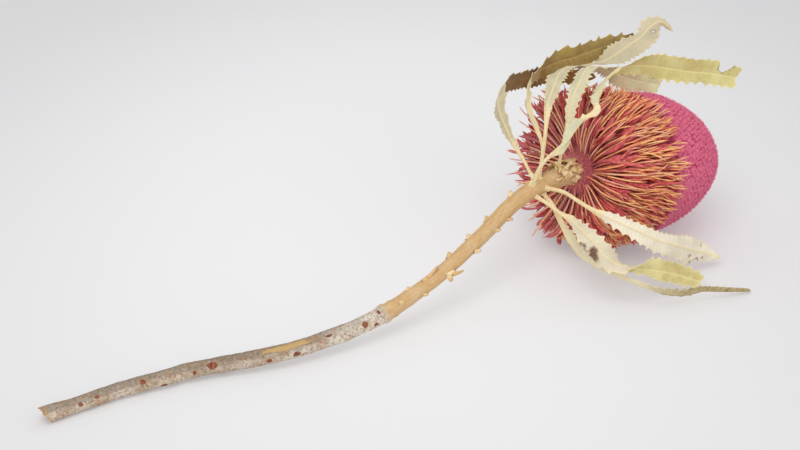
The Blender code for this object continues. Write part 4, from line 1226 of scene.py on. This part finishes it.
def gap_to(places, ends):
    """How far each place is from the nearest of the ends."""
    ends = np.array(ends)
    return np.hypot(places[:, None, 0] - ends[:, 0], places[:, None, 1] - ends[:, 1]).min(axis=1)


def rim_of(triangles):
    """The edges that one triangle alone has."""
    pairs = np.concatenate([triangles[:, [0, 1]], triangles[:, [1, 2]], triangles[:, [2, 0]]]).tolist()
    known = {tuple(p) for p in pairs}
    return np.array([p for p in pairs if (p[1], p[0]) not in known])


def leaf_paints(name, number, finish, pitch):
    """The paints of a leaf's underside and of its upper side."""
    under, upper = finish["under"], finish["upper"]
    under_shade = tuple(c * 0.93 for c in under)
    upper_rib = tuple(min(255, c + 22) for c in upper)
    seed = number * 37
    return (
        leaf_paint(name + "_under", under, under_shade, RIB_PALE, pitch, seed, False),
        leaf_paint(name + "_upper", upper, finish["shade"], upper_rib, pitch, seed + 9, True),
    )


def build_leaf(name, number):
    """A leaf with saw teeth, a raised midrib, waves, tears and holes, thin at its edges."""
    draws = random.Random(100 + number)
    finish = LEAF_FINISH[name]
    frame = leaf_frame(name)
    _, run, halves, *_ = frame
    length = run[-1]
    pitch = sum(finish["pitch"]) / 2
    cuts = finish.get("cuts", [])

    def half_at(s, sign):
        return float(np.interp(s, run, halves[:, 0 if sign < 0 else 1]))

    loop = leaf_edge(half_at, length, finish, draws)
    places, triangles = leaf_grid(loop, cuts, half_at, length, draws)
    along, wide = places.T
    lower, upper, blade = leaf_skins(number, pitch, LEAF_FOLDS.get(name, LEAF_FOLD), along, wide, frame)
    brown = np.zeros(len(places))
    for *spot, radius in finish["spots"]:
        brown = np.maximum(brown, np.clip(2.6 - gap_to(places, [spot]) / radius * 2.4, 0, 1))
    for cut in cuts:
        brown = np.maximum(brown, np.clip(1 - gap_to(places, cut) / 0.8, 0, 1) * 0.8)
    rim = rim_of(triangles)
    marks = dict(
        length=along,
        width=wide,
        edge=gap_to(places, places[np.unique(rim)]) * 0.6,
        brown=brown,
        blade=np.where(along > length / 2, 1.0, blade),
        aged=np.interp(along, finish.get("aged", NOT_AGED), (0, 1)),
    )
    shape = Shape(*marks)
    shape.add(lower, triangles[:, ::-1], **marks)
    shape.add(upper, triangles, slot=1, **marks)
    a, b = rim.T
    wall = np.concatenate([upper[b], upper[a], lower[a], lower[b]])
    wall_marks = {key: np.concatenate([row[b], row[a], row[a], row[b]]) for key, row in marks.items()}
    shape.add(wall, np.arange(len(wall)).reshape(4, -1).T, **wall_marks)
    slot = "leaf_olive" if name in OLIVE_LEAVES else "leaf_pale"
    shape.piece(name + "_blade", name, slot, *leaf_paints(name, number, finish, pitch))


def set_up(thing, place, way):
    """Stands a camera or a lamp in its place, so that it looks its way."""
    thing.location = place
    thing.rotation_euler = Vector(way).to_track_quat("-Z", "Y").to_euler()
    bpy.context.scene.collection.objects.link(thing)


def place_camera():
    camera = bpy.data.objects.new("camera", bpy.data.cameras.new("camera"))
    camera.data.lens = CAMERA_LENS
    camera.data.sensor_width = 36.0
    camera.data.clip_start = 0.02
    set_up(camera, CAMERA_AT, CAMERA_LOOK)
    bpy.context.scene.camera = camera


def place_lamp(name, place, aim, size, power, colour):
    lamp = bpy.data.lights.new(name, "AREA")
    lamp.shape = "RECTANGLE"
    lamp.size, lamp.size_y = size
    lamp.energy = power
    lamp.color = colour
    set_up(bpy.data.objects.new(name, lamp), place, Vector(aim) - Vector(place))


def floor_paint():
    """Pale paper with a weak painted glow that lightens the shadows on it: a painted pool of light, brightest
    at its middle, that dims towards its far parts.
    """
    paint = Paint("floor_paper_painted_glow", 0.9, Specular_IOR_Level=0.2, Emission_Color=(0.99, 0.99, 1.0, 1.0))
    across, deep = FLOOR_REACH
    place = paint.place((1 / across, 1 / deep, 1))
    away = paint.add("VectorMath", {0: place}, out="Value", operation="LENGTH")
    # Painted light: the floor glows, most at its middle, to lighten the shadows on it.
    painted_glow = paint.times(paint.steps(away, 0.3, 1.4, 1.0, PAINTED_GLOW_DIM), PAINTED_FLOOR_GLOW)
    paint.put(painted_glow, paint.shader.inputs["Emission Strength"])
    return paint.finish(paint.mix(paint.noise(0.01), (200, 200, 202), (202, 202, 203)))


def build_studio():
    """A wide pale floor with a painted glow, under large soft lights and an even sky."""
    mesh = bpy.data.meshes.new("floor")
    corners = [(x * FLOOR_HALF, y * FLOOR_HALF, 0) for x, y in ((-1, -1), (1, -1), (1, 1), (-1, 1))]
    mesh.from_pydata(corners, [], [(0, 1, 2, 3)])
    mesh.materials.append(floor_paint())
    floor = bpy.data.objects.new("floor", mesh)
    floor.location = FLOOR_CENTRE
    floor.rotation_euler.z = math.atan2(-CAMERA_LOOK[0], CAMERA_LOOK[1])
    bpy.context.scene.collection.objects.link(floor)
    world = bpy.data.worlds.new("studio")
    world.use_nodes = True
    sky = world.node_tree.nodes["Background"]
    sky.inputs["Color"].default_value = (0.975, 0.975, 0.985, 1.0)
    sky.inputs["Strength"].default_value = SKY_STRENGTH
    bpy.context.scene.world = world
    for name, settings in LAMPS.items():
        place_lamp(name, *settings)
    bpy.context.scene.view_settings.view_transform = "Standard"


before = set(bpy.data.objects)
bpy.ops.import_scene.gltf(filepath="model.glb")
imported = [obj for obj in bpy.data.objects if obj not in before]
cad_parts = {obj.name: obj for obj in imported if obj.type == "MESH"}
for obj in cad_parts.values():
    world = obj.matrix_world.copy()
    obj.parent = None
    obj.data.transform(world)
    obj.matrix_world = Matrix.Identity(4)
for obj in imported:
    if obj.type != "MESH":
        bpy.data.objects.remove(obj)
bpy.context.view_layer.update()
place_camera()
build_studio()
build_stem()
build_core()
build_styles()
build_perianths()
build_dome()
for number, name in enumerate(LEAVES, 1):
    build_leaf(name, number)
